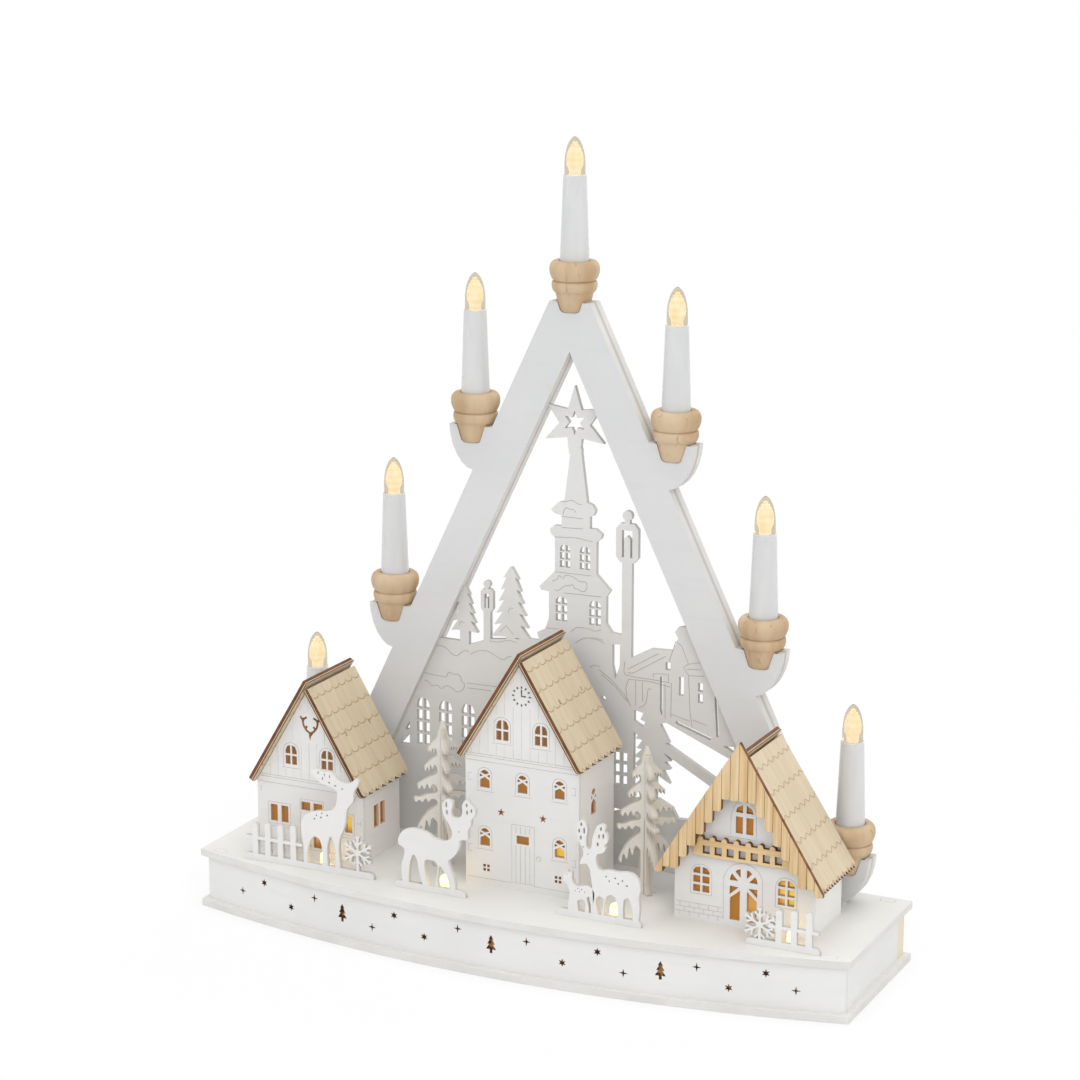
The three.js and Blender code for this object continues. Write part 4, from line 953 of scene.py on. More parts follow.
def shifted(points: Sequence[Point], dx: float, dy: float, sx: float = 1.0) -> Line:
    """Moves points, and turns them over where sx is -1."""
    return [(dx + sx * x, dy + y) for x, y in points]


def mirrored(points: Sequence[Point]) -> Line:
    """The same points on the other side, the last one first."""
    return [(-x, z) for x, z in reversed(points)]


def rectangle(x0: float, x1: float, z0: float, z1: float) -> Line:
    """The corners of a rectangle."""
    return [(x0, z0), (x1, z0), (x1, z1), (x0, z1)]


def ring(points: Sequence[tuple]) -> list[tuple]:
    """A line that ends where it starts."""
    return [*points, points[0]]


def arc(x: float, z: float, half_x: float, half_z: float, parts: float,
        marks: Iterable[int]) -> Line:
    """Points round a middle, counted anticlockwise from the right.

    Args:
        x: The middle.
        z: The middle's height.
        half_x: Distance to the points at the side.
        half_z: Distance to the points above and below.
        parts: Number of steps in half a turn.
        marks: The steps at which there is a point.

    Returns:
        The points.
    """
    angles = [math.pi * i / parts for i in marks]
    return [(x + half_x * math.cos(a), z + half_z * math.sin(a)) for a in angles]


def oval(x: float, z: float, half_x: float, half_z: float, steps: int = 10) -> Line:
    """A small round or long hole."""
    return arc(x, z, half_x, half_z, steps / 2, range(steps))


def arched(x: float, z0: float, width: float, height: float, margin: float) -> Line:
    """The border round an arched window, open at its foot.

    Args:
        x: Middle of the window.
        z0: Foot of the opening.
        width: Width of the opening.
        height: Height of the opening.
        margin: Distance from the opening to the border.

    Returns:
        The border's points.
    """
    half, top = width / 2 + margin, z0 + height + margin
    spring = top - half * 0.9
    crown = arc(x, spring, half, top - spring, 14, range(15))
    return [(x + half, z0 - margin), *crown, (x - half, z0 - margin)]


@dataclass
class Dresser:
    """Gives CAD nodes their materials."""

    nodes: dict

    def dress(self, finish: Finish, material: str, *names: str) -> None:
        """Puts one finish on some nodes.

        Args:
            finish: The finish.
            material: Name of its material.
            *names: Names of the nodes.
        """
        made = finish.dress(material)
        for name in names:
            slots = self.nodes[name].data.materials
            slots.clear()
            slots.append(made)
            log.info("%s wears %s", name, material)


@dataclass
class Candles:
    """Seven candles: turned cup, sleeve, clear cap and glowing core."""

    y: float = 46.5
    rims: tuple = ((-168.35, 76.5), (-115.0, 187.2), (-61.66, 297.9), (0.0, 376.3),
                   (61.66, 297.9), (115.0, 187.2), (168.35, 76.5))
    sleeve_rise: float = 51.5
    cap_rise: float = 20.7
    cap_radius: float = 5.75
    ribs: int = 20
    rib_depth: float = 0.014
    ring_rise: float = 1.8
    faces: tuple = (("front", 40.45), ("back", 52.55))
    side_notch: Point = (14.05, 10.8)
    apex_notch: Point = (18.15, 9.2)
    cheek_inset: float = 5.7

    def cup(self) -> Piece:
        """Spins the cup with its rounded rim, bead and cone."""
        return spun("cup", [
            (4, -24), (6.6, -24), (7.5, -23.7), (8.2, -22.9), (9.3, -18.6), (10.4, -14.2),
            (10.6, -13.6), (10.9, -13.1), (11.8, -12.3), (12.4, -11.1), (12.7, -9.5), (12.7, -8.4),
            (12.5, -7.3), (12.2, -6.95), (11.4, -6.65), (11.4, -6.35), (12.2, -6.0), (12.8, -5.0),
            (13.4, -3.6), (13.85, -2.0), (14.0, -0.4), (13.85, 1.2), (13.4, 2.5), (12.7, 3.5),
            (11.8, 4.2), (10.9, 4.5), (9.2, 4.5), (8.65, 4.3), (8.45, 3.8), (8.45, -9.4),
            (4, -9.4)], 48)

    def sleeve(self) -> Piece:
        """Spins the tapering sleeve."""
        top = self.sleeve_rise
        return spun("sleeve", [(4.6, -9.1), (8.15, -9.1), (8.15, 4.5), (7.28, 28),
                               (6.45, top - 0.4), (6.1, top), (5.0, top), (4.6, top - 0.3)], 48)

    def cap(self) -> Piece:
        """Spins the clear cap and presses its ribs in.

        Returns:
            The cap over a rim at the origin.
        """
        foot, rise = self.sleeve_rise + 0.3, self.cap_rise - 0.3
        outer = [(1.0, 0.0), (1.0, 0.22), (0.985, 0.36), (0.93, 0.5), (0.84, 0.63), (0.71, 0.75),
                 (0.55, 0.85), (0.37, 0.925), (0.18, 0.975), (0.0, 1.0)]
        profile = [(r * self.cap_radius, foot + rise * h) for r, h in outer]
        piece = spun("cap", [(0.0, foot), *profile], 40, 40)
        for vertex in piece.data.vertices:
            x, y, z = vertex.co
            if math.hypot(x, y) > 0.5 * MM and z > (foot + 0.05 * rise) * MM:
                groove = 0.5 + 0.5 * math.cos(self.ribs * math.atan2(y, x))
                vertex.co.xy *= 1 - self.rib_depth * groove
        return piece

    def core(self) -> Piece:
        """Spins the frosted core that glows in the cap: a narrow neck and stepped rings.

        Returns:
            The core over a rim at the origin.
        """
        top, tip = self.sleeve_rise, self.sleeve_rise + self.cap_rise
        profile = [(0, top - 7), (4.2, top - 7), (4.2, top - 0.4), (3.0, top), (3.1, top + 2.4),
                   (3.9, top + 4.4)]
        for i, radius in enumerate((4.35, 4.5, 4.35, 4.0, 3.4, 2.5, 1.4)):
            height = top + 5.4 + i * self.ring_rise
            profile += [(radius, height), (radius - 0.22, height + 1.4)]
        return spun("core", [*profile, (0, tip - 3.0)], 32, 50)

    def cheek(self, y: float, top: float, half: float) -> Piece:
        """Cuts the thin cheek that closes one face of the frame around a cone.

        Args:
            y: Middle of the cheek.
            top: How far the frame's edge lies under the rim.
            half: Half the width of the frame's notch at that edge.

        Returns:
            The cheek for a rim at the origin.
        """
        cone = ((10.45, 14.05), (9.41, 18.15), (8.2, 22.9), (7.5, 23.7), (6.6, 24.05))
        inner = [(math.sqrt(r * r - self.cheek_inset ** 2) + 0.1, -drop)
                 for r, drop in cone if drop >= top]
        right = [(half, -top), *inner]
        loop = [*right, *mirrored(right), (-6.95, -24.5), (6.95, -24.5)]
        return board("cheek", [loop], upright(y), 0.8, THIN_BEVEL)

    def cheeks(self) -> None:
        """Sets a cheek on both faces of the frame under every rim."""
        paint = FRAME_PAINT.dress("painted cheek")
        for face, y in self.faces:
            side, apex = self.cheek(y, *self.side_notch), self.cheek(y, *self.apex_notch)
            for i, (x, rim) in enumerate(self.rims, 1):
                name = f"cup_cheek_{face}_{i}"
                seat(copied(side if x else apex, name, x, 0, rim), paint)
            dropped(side)
            dropped(apex)

    def build(self) -> None:
        """Builds the seven candles from one of each part."""
        self.cheeks()
        for master, finish, material, slot, node in (
                (self.cup(), TurnedBeech(), "turned beech", "turned_beech", "candle_cup"),
                (self.sleeve(), SatinSleeve(), "satin sleeve", "candle_white", "candle_shaft"),
                (self.cap(), ClearCap(), "clear cap", "clear_lamp", "candle_lamp"),
                (self.core(), WarmGlow(), "lamp core", "clear_lamp", None)):
            made = finish.dress(material)
            for i, (x, rim) in enumerate(self.rims, 1):
                piece = copied(master, f"candle_{master.name}_{i}", x, self.y, rim)
                seat(piece, made, [f"{node}_{i}"] if node else [])
            dropped(master)


@dataclass
class DeckLamps:
    """Small domed lamps that stand in the deck and glow behind the figures."""

    spots: tuple = ((-120, -31), (-41, -34), (63, -33), (164, -28), (-118, 0), (14, 0), (150, 0))
    radius: float = 2.75
    rise: float = 8.9

    def build(self) -> None:
        """Spins one dome with its collar and copies it to every hole."""
        r, h = self.radius, self.rise
        crown = arc(0, h - r, r, r, 12, range(1, 6))
        dome = spun("dome", [(0, 0.02), (r + 0.7, 0.02), (r + 0.7, 0.7), (r + 0.2, 0.95), (r, 1.1),
                             (r, h - r), *crown, (0, h)], 28, 60)
        glow = WarmGlow(hot=srgb(255, 226, 156), warm=srgb(255, 208, 112), strength=3.4,
                        patch=500).dress("deck lamp")
        for i, (x, y) in enumerate(self.spots, 1):
            seat(copied(dome, f"deck_lamp_{i}", x, y, DECK), glow)
        dropped(dome)


@dataclass
class Box:
    """The bow-fronted box: plates, panels, and the sheet behind the cut-outs of the front."""

    bow_radius: float = 782.23
    bow_y: float = 719.23
    sheet_inset: float = 8.6
    sheet_half: float = 188.0
    sheet_middle: float = 17.35
    sheet_height: float = 24.0

    def dress(self, dresser: Dresser) -> None:
        """Dresses the box's nodes.

        Args:
            dresser: Gives nodes their materials.
        """
        # The plates' white is set a little darker than the other boards' white: painted shade for
        # the deck among the houses
        plate = PaintedBoard(Facing.UP, srgb(230, 229, 224), srgb(226, 224, 220))
        dresser.dress(plate, "painted plate", "base_top_plate", "base_bottom_plate")
        dresser.dress(BowedFront(centre=self.bow_y), "painted front", "base_front_panel")
        dresser.dress(PaintedBoard(Facing.SIDE), "painted side", "base_left_side",
                      "base_right_side")
        back = BackBoard(grain=(0.35, 6.0, 6.0), colour=srgb(234, 222, 198),
                         streak=srgb(221, 203, 172), edge=srgb(231, 219, 196))
        dresser.dress(back, "bare back", "base_back_panel")

    def build(self) -> None:
        """Bends the lit sheet that shows through the front's stars and trees."""
        outer = self.bow_radius - self.sheet_inset
        line = [(x, self.bow_y - math.sqrt(outer ** 2 - x * x))
                for x in [self.sheet_half * (i / 16 - 1) for i in range(33)]]
        loop = line + [(x, y + 0.5) for x, y in reversed(line)]
        glow = RoomGlow(srgb(190, 140, 84), srgb(96, 76, 58), (14.0, 24.0), strength=0.5)
        lit_sheet("panel_glow", loop, Matrix.Translation((0, 0, self.sheet_middle)), glow,
                  "lit panel", self.sheet_height)


@dataclass
class Village:
    """Engraved snow, eaves and walls on the village panel inside the frame."""

    y: float = 44.98
    church_x: float = 1.8
    church: tuple = traced_lines("""
        -9.4,209.8 -7.2,209.6 -4.1,210.6 -1.4,210.7 0.9,209.4 3.7,209 | -7.8,202.4 -7.2,204.7
        -6,206.4 -3.7,205.6 -1.4,205.8 0.2,204 | -8.7,201.1 4.5,201 | -8.7,194.6 4.5,195.2 |
        -13,188.7 -6.4,189.2 1.4,189.5 6.8,188.7 10.7,188.4 | -13,168.5 10,168.6 | -14.6,162.9
        -11,164.8 -10.3,166.7 -9.1,166.1 -8.3,165.1 | -7.5,165.1 -7.1,166.6 -4.8,167.3 -0.1,166
        3,164.5 6.5,164.6 6.8,160.6 5.4,159 3.1,159.1 1.5,160 -0.5,160.1 -2,162.5 -3.2,161.6
        -6.3,161.1 -8.7,159.5 -11,157.7 -13,158 | -7.1,156.8 15.9,157.1 | -18.1,135 -10.2,135.2 |
        -2.7,134.6 0,137.1 5.5,137.7 8.6,137.6 11.7,136.7 16,138 | 0,128.3 3.9,131 9.4,132.4
        14.1,132.6 17.2,131.9""")
    cottages: tuple = traced_lines("""
        -88.3,115.5 -84.1,116 -80.3,114.8 -78,112.5 -74.3,111.2 -71,113.8 -68.2,115.3 -65.9,114.4 |
        -65,113.3 -61.7,115.4 -58,116.3 -53.4,116.4 -49.7,114.7 -46,113.1 -43.3,112.7 -41.4,114.5
        -38.7,115.3 | -52.9,122.9 -47.8,122.7 -42.3,124.2 -38.7,124.6 -35.5,123.8 | -95.5,98.6
        -90.8,97.9 -84.2,97.7 -81,97.9 -79.5,100.7 -76.3,99.6 -73.5,100.3 -71.6,98.7 -71.1,96.6
        -69.3,95.1 -69.8,92 -71.2,90.5 -74.9,89.6 -76.3,90.7 -79.1,92.1 -81.5,92.2 -84.3,90.1
        -87.1,91.9 -90.9,91 -92.8,93.2 -95.6,93.8 | -67.4,95.8 -47.9,95.9 | -67,92.8 -51.7,93.1 |
        -46,129.3 -41.8,133.2 -37.3,128.2 | -72.3,129.9 -71.4,132.2 -69,131.6 | -40.9,141.3
        -39.5,144 -37.7,143.8""")
    barn: tuple = traced_lines("""
        32.7,121.3 32.8,113.8 37.6,113.2 48.2,112.9 60.4,112.4 | 34.5,117 53.2,128.5 | 34.5,114.9
        37.6,115.1 57.6,127.4 | 35,111.2 33.3,106.3 34.2,99.7 36.9,95 | 35,111.2 48.2,111.6
        60.4,109.9 | 39.4,110.9 39.5,96.2 | 43.4,110.6 43.9,99.3 | 41.7,95.3 45.2,97.8 46.5,102.2
        47.8,107.4 49.1,106.7 | 57.4,111.1 57.6,91.1 | 50.3,114.4 50.3,116.5 59.5,117.2 59.5,113.1 |
        59.8,124.7 63.6,136.8 | 63.6,136.8 67.1,134.7 71.5,124.6 78.4,126.3 | 71.5,124.6 68.5,122.5
        71.6,118 81.1,118.8 | 70.7,121.6 79.3,122.3 | 71.6,118 72.1,108.9 72.7,97.3 74.2,88.4 |
        61.3,112.5 61.1,92.4 | 61.5,94.2 72.8,91.5 | 74.5,92.6 83.2,90.4 | 11.8,132.1 16.3,131.8
        19.8,130.2 | 16.4,114.6 24.4,109.4 32.4,102 36.9,95 | 18.2,111.9 27.1,105.5 34.2,98.1 |
        11,115.2 13.7,116.8 17.3,116.4""")

    def dress(self, dresser: Dresser) -> None:
        """Paints the frame's boards and the panel between them.

        Args:
            dresser: Gives nodes their materials.
        """
        dresser.dress(FRAME_PAINT, "painted frame", "frame_front", "frame_back")
        panel = PaintedBoard(colour=srgb(222, 221, 219), edge=srgb(196, 193, 188))
        dresser.dress(panel, "painted village", "village_panel")

    def build(self) -> None:
        """Engraves the panel; lines of five points and more run smoothly."""
        lines = [shifted(line, self.church_x, 0) for line in self.church]
        smooth = [flowing(line, closed=False, pace=1.2) if len(line) > 4 else line
                  for line in (*lines, *self.cottages, *self.barn)]
        engraved("village_engraving", on_wall(smooth, 0, self.y), 0.14, srgb(150, 142, 133),
                 "village engraving")


@dataclass
class House:
    """A house: walls, lit sheets behind its windows, a shingled roof and engraving."""

    name: str
    x: float
    front: float
    back: float
    width: float
    ridge: float
    eave_half: float
    eave: float
    roof_front: float
    roof_back: float
    cut: ShingleCut
    lines: list = field(default_factory=list)
    boards: list = field(default_factory=list)
    spots: tuple = ()
    slots: tuple = ()
    low: Colour = srgb(176, 122, 58)
    side_low: Colour = srgb(208, 178, 150)
    side_high: Colour = srgb(196, 178, 160)
    levels: Point = (38.0, 62.0)
    wall: float = 3.0
    shingle: float = 7.7
    roof_drop: float = 3.3
    front_rim: float = 0.4
    back_rim: float = 0.3
    sheet_gap: float = 0.6
    sheet_behind: float = 1.8
    sheet_foot: float = 1.0
    shoulder_drop: float = 4.0
    peak_drop: float = 6.0
    side_ends: Point = (8.0, 6.0)
    side_drop: float = 3.0
    side_inset: float = 1.6
    slot_size: Point = (2.4, 0.5)
    plank: float = 5.2
    planks_half: float = 32.0
    shortest: float = 1.5
    window_clear: float = 6.0
    line_inset: float = 0.5

    @property
    def slope(self) -> tuple[float, float, float]:
        """The roof's slope.

        Returns:
            Its cosine, its sine and its length.
        """
        rise = self.ridge - self.eave
        length = math.hypot(rise, self.eave_half)
        return self.eave_half / length, rise / length, length

    @property
    def wall_apex(self) -> float:
        """Height of the wall's peak over the deck."""
        return self.ridge - self.roof_drop / self.slope[0]

    @property
    def wall_eave(self) -> float:
        """Height of the wall's shoulders over the deck."""
        return self.wall_apex - self.width / 2 * self.slope[1] / self.slope[0]

    def dress(self, dresser: Dresser) -> None:
        """Dresses the house's nodes.

        Args:
            dresser: Gives nodes their materials.
        """
        front = CutFront(middle=self.x, half=self.width / 2 - self.front_rim)
        dresser.dress(front, f"{self.name} front paint", f"{self.name}_front")
        shell = CutShell(middle=self.x, half=self.width / 2,
                         back=self.back - self.wall - self.back_rim)
        dresser.dress(shell, f"{self.name} wall paint", f"{self.name}_shell")
        ca, sa, length = self.slope
        depth = self.roof_back - self.roof_front
        for side, sign in (("left", -1), ("right", 1)):
            roof = ShingledRoof(ridge=(self.x, DECK + self.ridge), front=self.roof_front,
                                down=(sign * ca, -sa), length=length, cut=self.cut,
                                pitch=depth / max(1, round(depth / self.shingle)))
            dresser.dress(roof, f"{self.name} {side} roof", f"{self.name}_roof_{side}")

    def sheets(self) -> None:
        """Hangs the lit sheets behind the front and the right wall."""
        half = self.width / 2 - self.wall - self.sheet_gap
        foot, shoulder = DECK + self.sheet_foot, DECK + self.wall_eave - self.shoulder_drop
        peak = (self.x, DECK + self.wall_apex - self.peak_drop)
        x0, x1, y = self.x - half, self.x + half, self.front + self.wall + self.sheet_behind
        loop = [(x0, foot), (x1, foot), (x1, shoulder), peak, (x0, shoulder)]
        spots = tuple((self.x + x, y, DECK + z, *rest) for x, z, *rest in self.spots)
        levels = (DECK + self.levels[0], DECK + self.levels[1])
        lit_sheet(f"{self.name}_glow", loop, upright(y),
                  RoomGlow(self.low, levels=levels, spots=spots), f"{self.name} lit room")
        y0, y1 = self.front + self.side_ends[0], self.back - self.side_ends[1]
        loop = rectangle(y0, y1, foot, shoulder - self.side_drop)
        lit_sheet(f"{self.name}_side_glow", loop, endwise(x1 - self.side_inset),
                  RoomGlow(self.side_low, self.side_high, levels), f"{self.name} side room")

    def engraving(self) -> None:
        """Draws the front's engraving: its borders, and its gable boards in a fainter line."""
        for part, lines, colour, width in (("borders", self.lines, srgb(176, 171, 164), 0.12),
                                           ("boards", self.boards, srgb(200, 197, 192), 0.11)):
            if lines:
                engraved(f"{self.name}_{part}", on_wall(lines, self.x, self.front - ENGRAVING_RISE),
                         width, colour, f"{self.name} {part}")

    def tabs(self) -> None:
        """Draws the wall's tab ends that show as small slots in the right slope."""
        ca, sa, _ = self.slope
        long, half = self.slot_size
        lines = []
        for down, y in self.slots:
            x0 = self.x + down * ca + ENGRAVING_RISE * sa
            z0 = DECK + self.ridge - down * sa + ENGRAVING_RISE * ca
            x1, z1 = x0 + long * ca, z0 - long * sa
            lines.append(ring([(x0, y - half, z0), (x1, y - half, z1), (x1, y + half, z1),
                               (x0, y + half, z0)]))
        engraved(f"{self.name}_roof_slots", lines, 0.13, srgb(120, 84, 50),
                 f"{self.name} roof slots")

    def build(self) -> None:
        """Builds the lit sheets and the engraving."""
        self.sheets()
        self.engraving()
        if self.slots:
            self.tabs()

    def window(self, x: float, z0: float, width: float, height: float, margin: float,
               sill: Point) -> None:
        """Draws the border of an arched window and its sill.

        Args:
            x: Middle of the window.
            z0: Foot of the opening.
            width: Width of the opening.
            height: Height of the opening.
            margin: Distance from the opening to the border.
            sill: Half the sill's width and how far it lies under the opening.
        """
        half, drop = sill
        self.lines += [arched(x, z0, width, height, margin),
                       [(x - half, z0 - drop), (x + half, z0 - drop)]]

    def door(self, x0: float, x1: float, foot: float, top: float, ground: float) -> None:
        """Draws a square doorway and the ground line on both sides of it."""
        self.lines += [ring(rectangle(x0, x1, foot, top)), [(-34, ground), (x0, ground)],
                       [(x1, ground), (34, ground)]]

    def gable(self, levels: tuple, clear: Point, middle: tuple) -> None:
        """Draws the gable's upright boards and the three lines under them.

        Args:
            levels: Heights of the lines; the boards start from the second.
            clear: Foot and top of the field that stays clear round each of the two windows.
            middle: x0, x1, z0 and z1 of the clear field between the windows.
        """
        tangent = self.slope[1] / self.slope[0]
        half = self.window_clear
        blocked = [*((x - half, x + half, *clear) for x in WINDOWS), middle]
        count = int(self.planks_half / self.plank)
        for i in range(-count, count + 1):
            x = i * self.plank
            pieces = [(levels[1], self.wall_apex - abs(x) * tangent - self.shortest)]
            for x0, x1, z0, z1 in blocked:
                if x0 < x < x1:
                    pieces = [part for low, high in pieces
                              for part in ((low, min(high, z0)), (max(low, z1), high))
                              if part[1] - part[0] > self.shortest]
            self.boards += [[(x, low), (x, high)] for low, high in pieces
                            if high - low > self.shortest]
        edge = self.width / 2 - self.line_inset
        self.lines += [[(-edge, z), (edge, z)] for z in levels]


@dataclass
class Cladding:
    """The chalet's gable boards: single planks with a gap between neighbours and hooked ends."""

    x: float = 130.6
    y: float = -22.8
    thickness: float = 3.0
    peak: float = 106.9
    half: float = 48.6
    end_top: float = 29.0
    end_foot: float = 27.4
    tooth: float = 31.0
    width: float = 4.9
    drop: float = 7.05
    steps: int = 6
    gap: float = 0.2
    narrowest: float = 0.6

    @property
    def edge(self) -> float:
        """Where the last plank begins."""
        return self.half - self.width

    def foot(self, x: float) -> float:
        """Height of the stepped lower edge.

        Args:
            x: Distance from the middle.

        Returns:
            The height over the deck.
        """
        if x > self.edge:
            return self.end_foot
        for i in range(self.steps):
            if x > self.edge - (i + 1.9) * self.width:
                return self.tooth + (self.drop * i ** 1.01 if i else 0.0)
        return self.tooth + self.drop * self.steps ** 1.01

    def marks(self) -> list[float]:
        """Finds where one plank ends and the next begins.

        Returns:
            The distances from the middle, going outwards.
        """
        start = self.edge - (self.steps + 0.9) * self.width
        inner = max(1, round(start / self.width))
        marks = [start * i / inner for i in range(inner + 1)]
        marks += [self.edge - (self.steps - i - 0.1) * self.width for i in range(self.steps)]
        return [*marks, self.edge, self.half]

    def plank(self, sign: int, a: float, b: float) -> Piece:
        """Cuts one plank with a hooked foot.

        Args:
            sign: -1 on the left and 1 on the right.
            a: Its side towards the middle.
            b: Its other side.

        Returns:
            The plank.
        """
        tangent = (self.peak - self.end_top) / self.half
        x0, x1, foot = a + self.gap / 2, b - self.gap / 2, self.foot((a + b) / 2)
        hook = [(x0, foot + 1.6), (x0 + 0.35, foot + 0.7), (x0 + 1.0, foot + 0.15),
                (x0 + 1.8, foot), (x1, foot + 0.1)]
        loop = hook + [(x, self.peak - tangent * x) for x in (x1, x0)]
        return board(f"plank_{sign}_{round(a)}", [shifted(loop, self.x, DECK, sign)],
                     upright(self.y), self.thickness, 0.08)

    def build(self) -> None:
        """Cuts every plank and joins them to one piece."""
        marks = self.marks()
        made = [self.plank(sign, a, b) for sign in (-1, 1) for a, b in zip(marks, marks[1:])
                if b - a > self.narrowest]
        held(made[0])
        for plank in made:
            plank.select_set(True)
        bpy.ops.object.join()
        bare = BarePlywood(grain=(7.0, 7.0, 0.3), colour=srgb(228, 202, 160),
                           streak=srgb(205, 171, 124), edge=srgb(112, 72, 40))
        seat(named(bpy.context.object, "cladding_planks"), bare.dress("cladding wood"),
             ["chalet_cladding"])


@dataclass
class Railing:
    """The chalet's balcony rail: round tops over the balusters and open slots between them."""

    x: float = 130.6
    y: float = -16.5
    thickness: float = 3.0
    half: float = 28.4
    foot: float = 38.0
    top: float = 47.4
    bump: float = 2.2
    count: int = 7
    pitch: float = 6.95
    slot: tuple = (4.1, 39.6, 44.2)

    def build(self) -> None:
        """Cuts the rail from one board."""
        crest = []
        for i in range(self.count + 1):
            x = (self.count / 2 - i) * self.pitch
            crest += arc(x, self.top, 0.25 * self.pitch, self.bump, 8, range(9))
        outline = [(-self.half, self.foot), (self.half, self.foot), (self.half, self.top), *crest,
                   (-self.half, self.top)]
        wide, low, high = self.slot
        slots = [rectangle(x - wide / 2, x + wide / 2, low, high) for x in
                 [(i - (self.count - 1) / 2) * self.pitch for i in range(self.count)]]
        rail = board("railing_board", [shifted(loop, self.x, DECK) for loop in (outline, *slots)],
                     upright(self.y), self.thickness, 0.1)
        wood = BarePlywood((0.35, 6.0, 6.0), srgb(229, 200, 152), edge=srgb(104, 66, 38))
        seat(rail, wood.dress("railing wood"), ["chalet_railing"])


@dataclass
class Fir:
    """A tree of two boards slotted into each other, with drooping fingered branches."""

    name: str
    x: float
    y: float
    height: float = 85.6
    trunk: float = 3.6
    turn: float = 45.0
    thickness: float = 3.0
    slot: float = 1.7
    tip_half: float = 1.5
    branches: tuple = ((8.6, 69.4, 75.5, 67.5), (10.8, 58.6, 66, 58), (15, 48.5, 55.5, 46),
                       (17, 41, 44.5, 38.2), (16, 21.5, 37.3, 25.5))
    back: tuple = ((0.0, 0.0), (0.4, 0.26), (0.78, 0.62))
    fingers: tuple = ((0.82, 0.75), (0.68, 0.0), (0.53, 1.0), (0.4, 0.05), (0.24, 0.9))

    def side(self) -> Line:
        """Draws the right half of the outline.

        Returns:
            Its points, from the tip down to the trunk's foot.
        """
        trunk = self.trunk
        points = [(0.6, self.height), (0.75 * trunk, self.height - 6.5)]
        for reach, tip, top, under in self.branches:
            span, droop, foot = reach - trunk, top - tip, tip - self.tip_half
            finger = 1.3 + 0.27 * droop
            points += [(trunk + u * span, top - fall * droop) for u, fall in self.back]
            points += [(trunk + 0.96 * span, tip + self.tip_half), (reach, tip),
                       (trunk + 0.95 * span, foot)]
            points += [(trunk + u * span, foot + (under - foot) * (1 - u) + lift * finger)
                       for u, lift in self.fingers]
            points.append((trunk, under))
        return [*flowing(points, closed=False, pace=1.0), (trunk, 5.5), (trunk + 0.6, 3.6),
                (trunk + 2.2, 2.2), (trunk + 2.4, 0.05)]

    def outline(self, from_top: bool) -> Line:
        """The whole outline with its slot.

        Args:
            from_top: Whether the slot comes down from the tip.

        Returns:
            The outline.
        """
        side, mid = self.side(), self.height / 2
        if from_top:
            side = [(self.slot, mid - 0.2), *[p for p in side if p[0] > self.slot + 0.05]]
            return side + mirrored(side)
        notch = [(-self.slot, 0.05), (-self.slot, mid + 0.2)]
        return side[::-1] + mirrored(side[::-1]) + notch + mirrored(notch)

    def build(self) -> None:
        """Cuts the two boards and turns them to their place."""
        spot = Matrix.Translation((self.x, self.y, DECK))
        for part, angle, from_top, facing in (("across", 0.0, False, Facing.LEFT_DIAGONAL),
                                              ("along", 90.0, True, Facing.RIGHT_DIAGONAL)):
            turn = Matrix.Rotation(math.radians(self.turn + angle), 4, "Z")
            piece = board(f"{self.name}_{part}_board", [self.outline(from_top)],
                          spot @ turn @ upright(0.0), self.thickness, 0.15)
            paint = PaintedBoard(facing, srgb(230, 227, 221), srgb(214, 206, 194))
            seat(piece, paint.dress(f"{self.name} {part} paint"),
                 [f"{self.name}_{part}"])


class Layer(Enum):
    """Thickness of a figure's parts, a little apart so that no two faces fall together."""

    BASE = 3.0
    ANIMAL = 2.92
    FLAKE = 2.88
    PICKET = 2.84
    POST = 2.8
    RAIL = 2.76


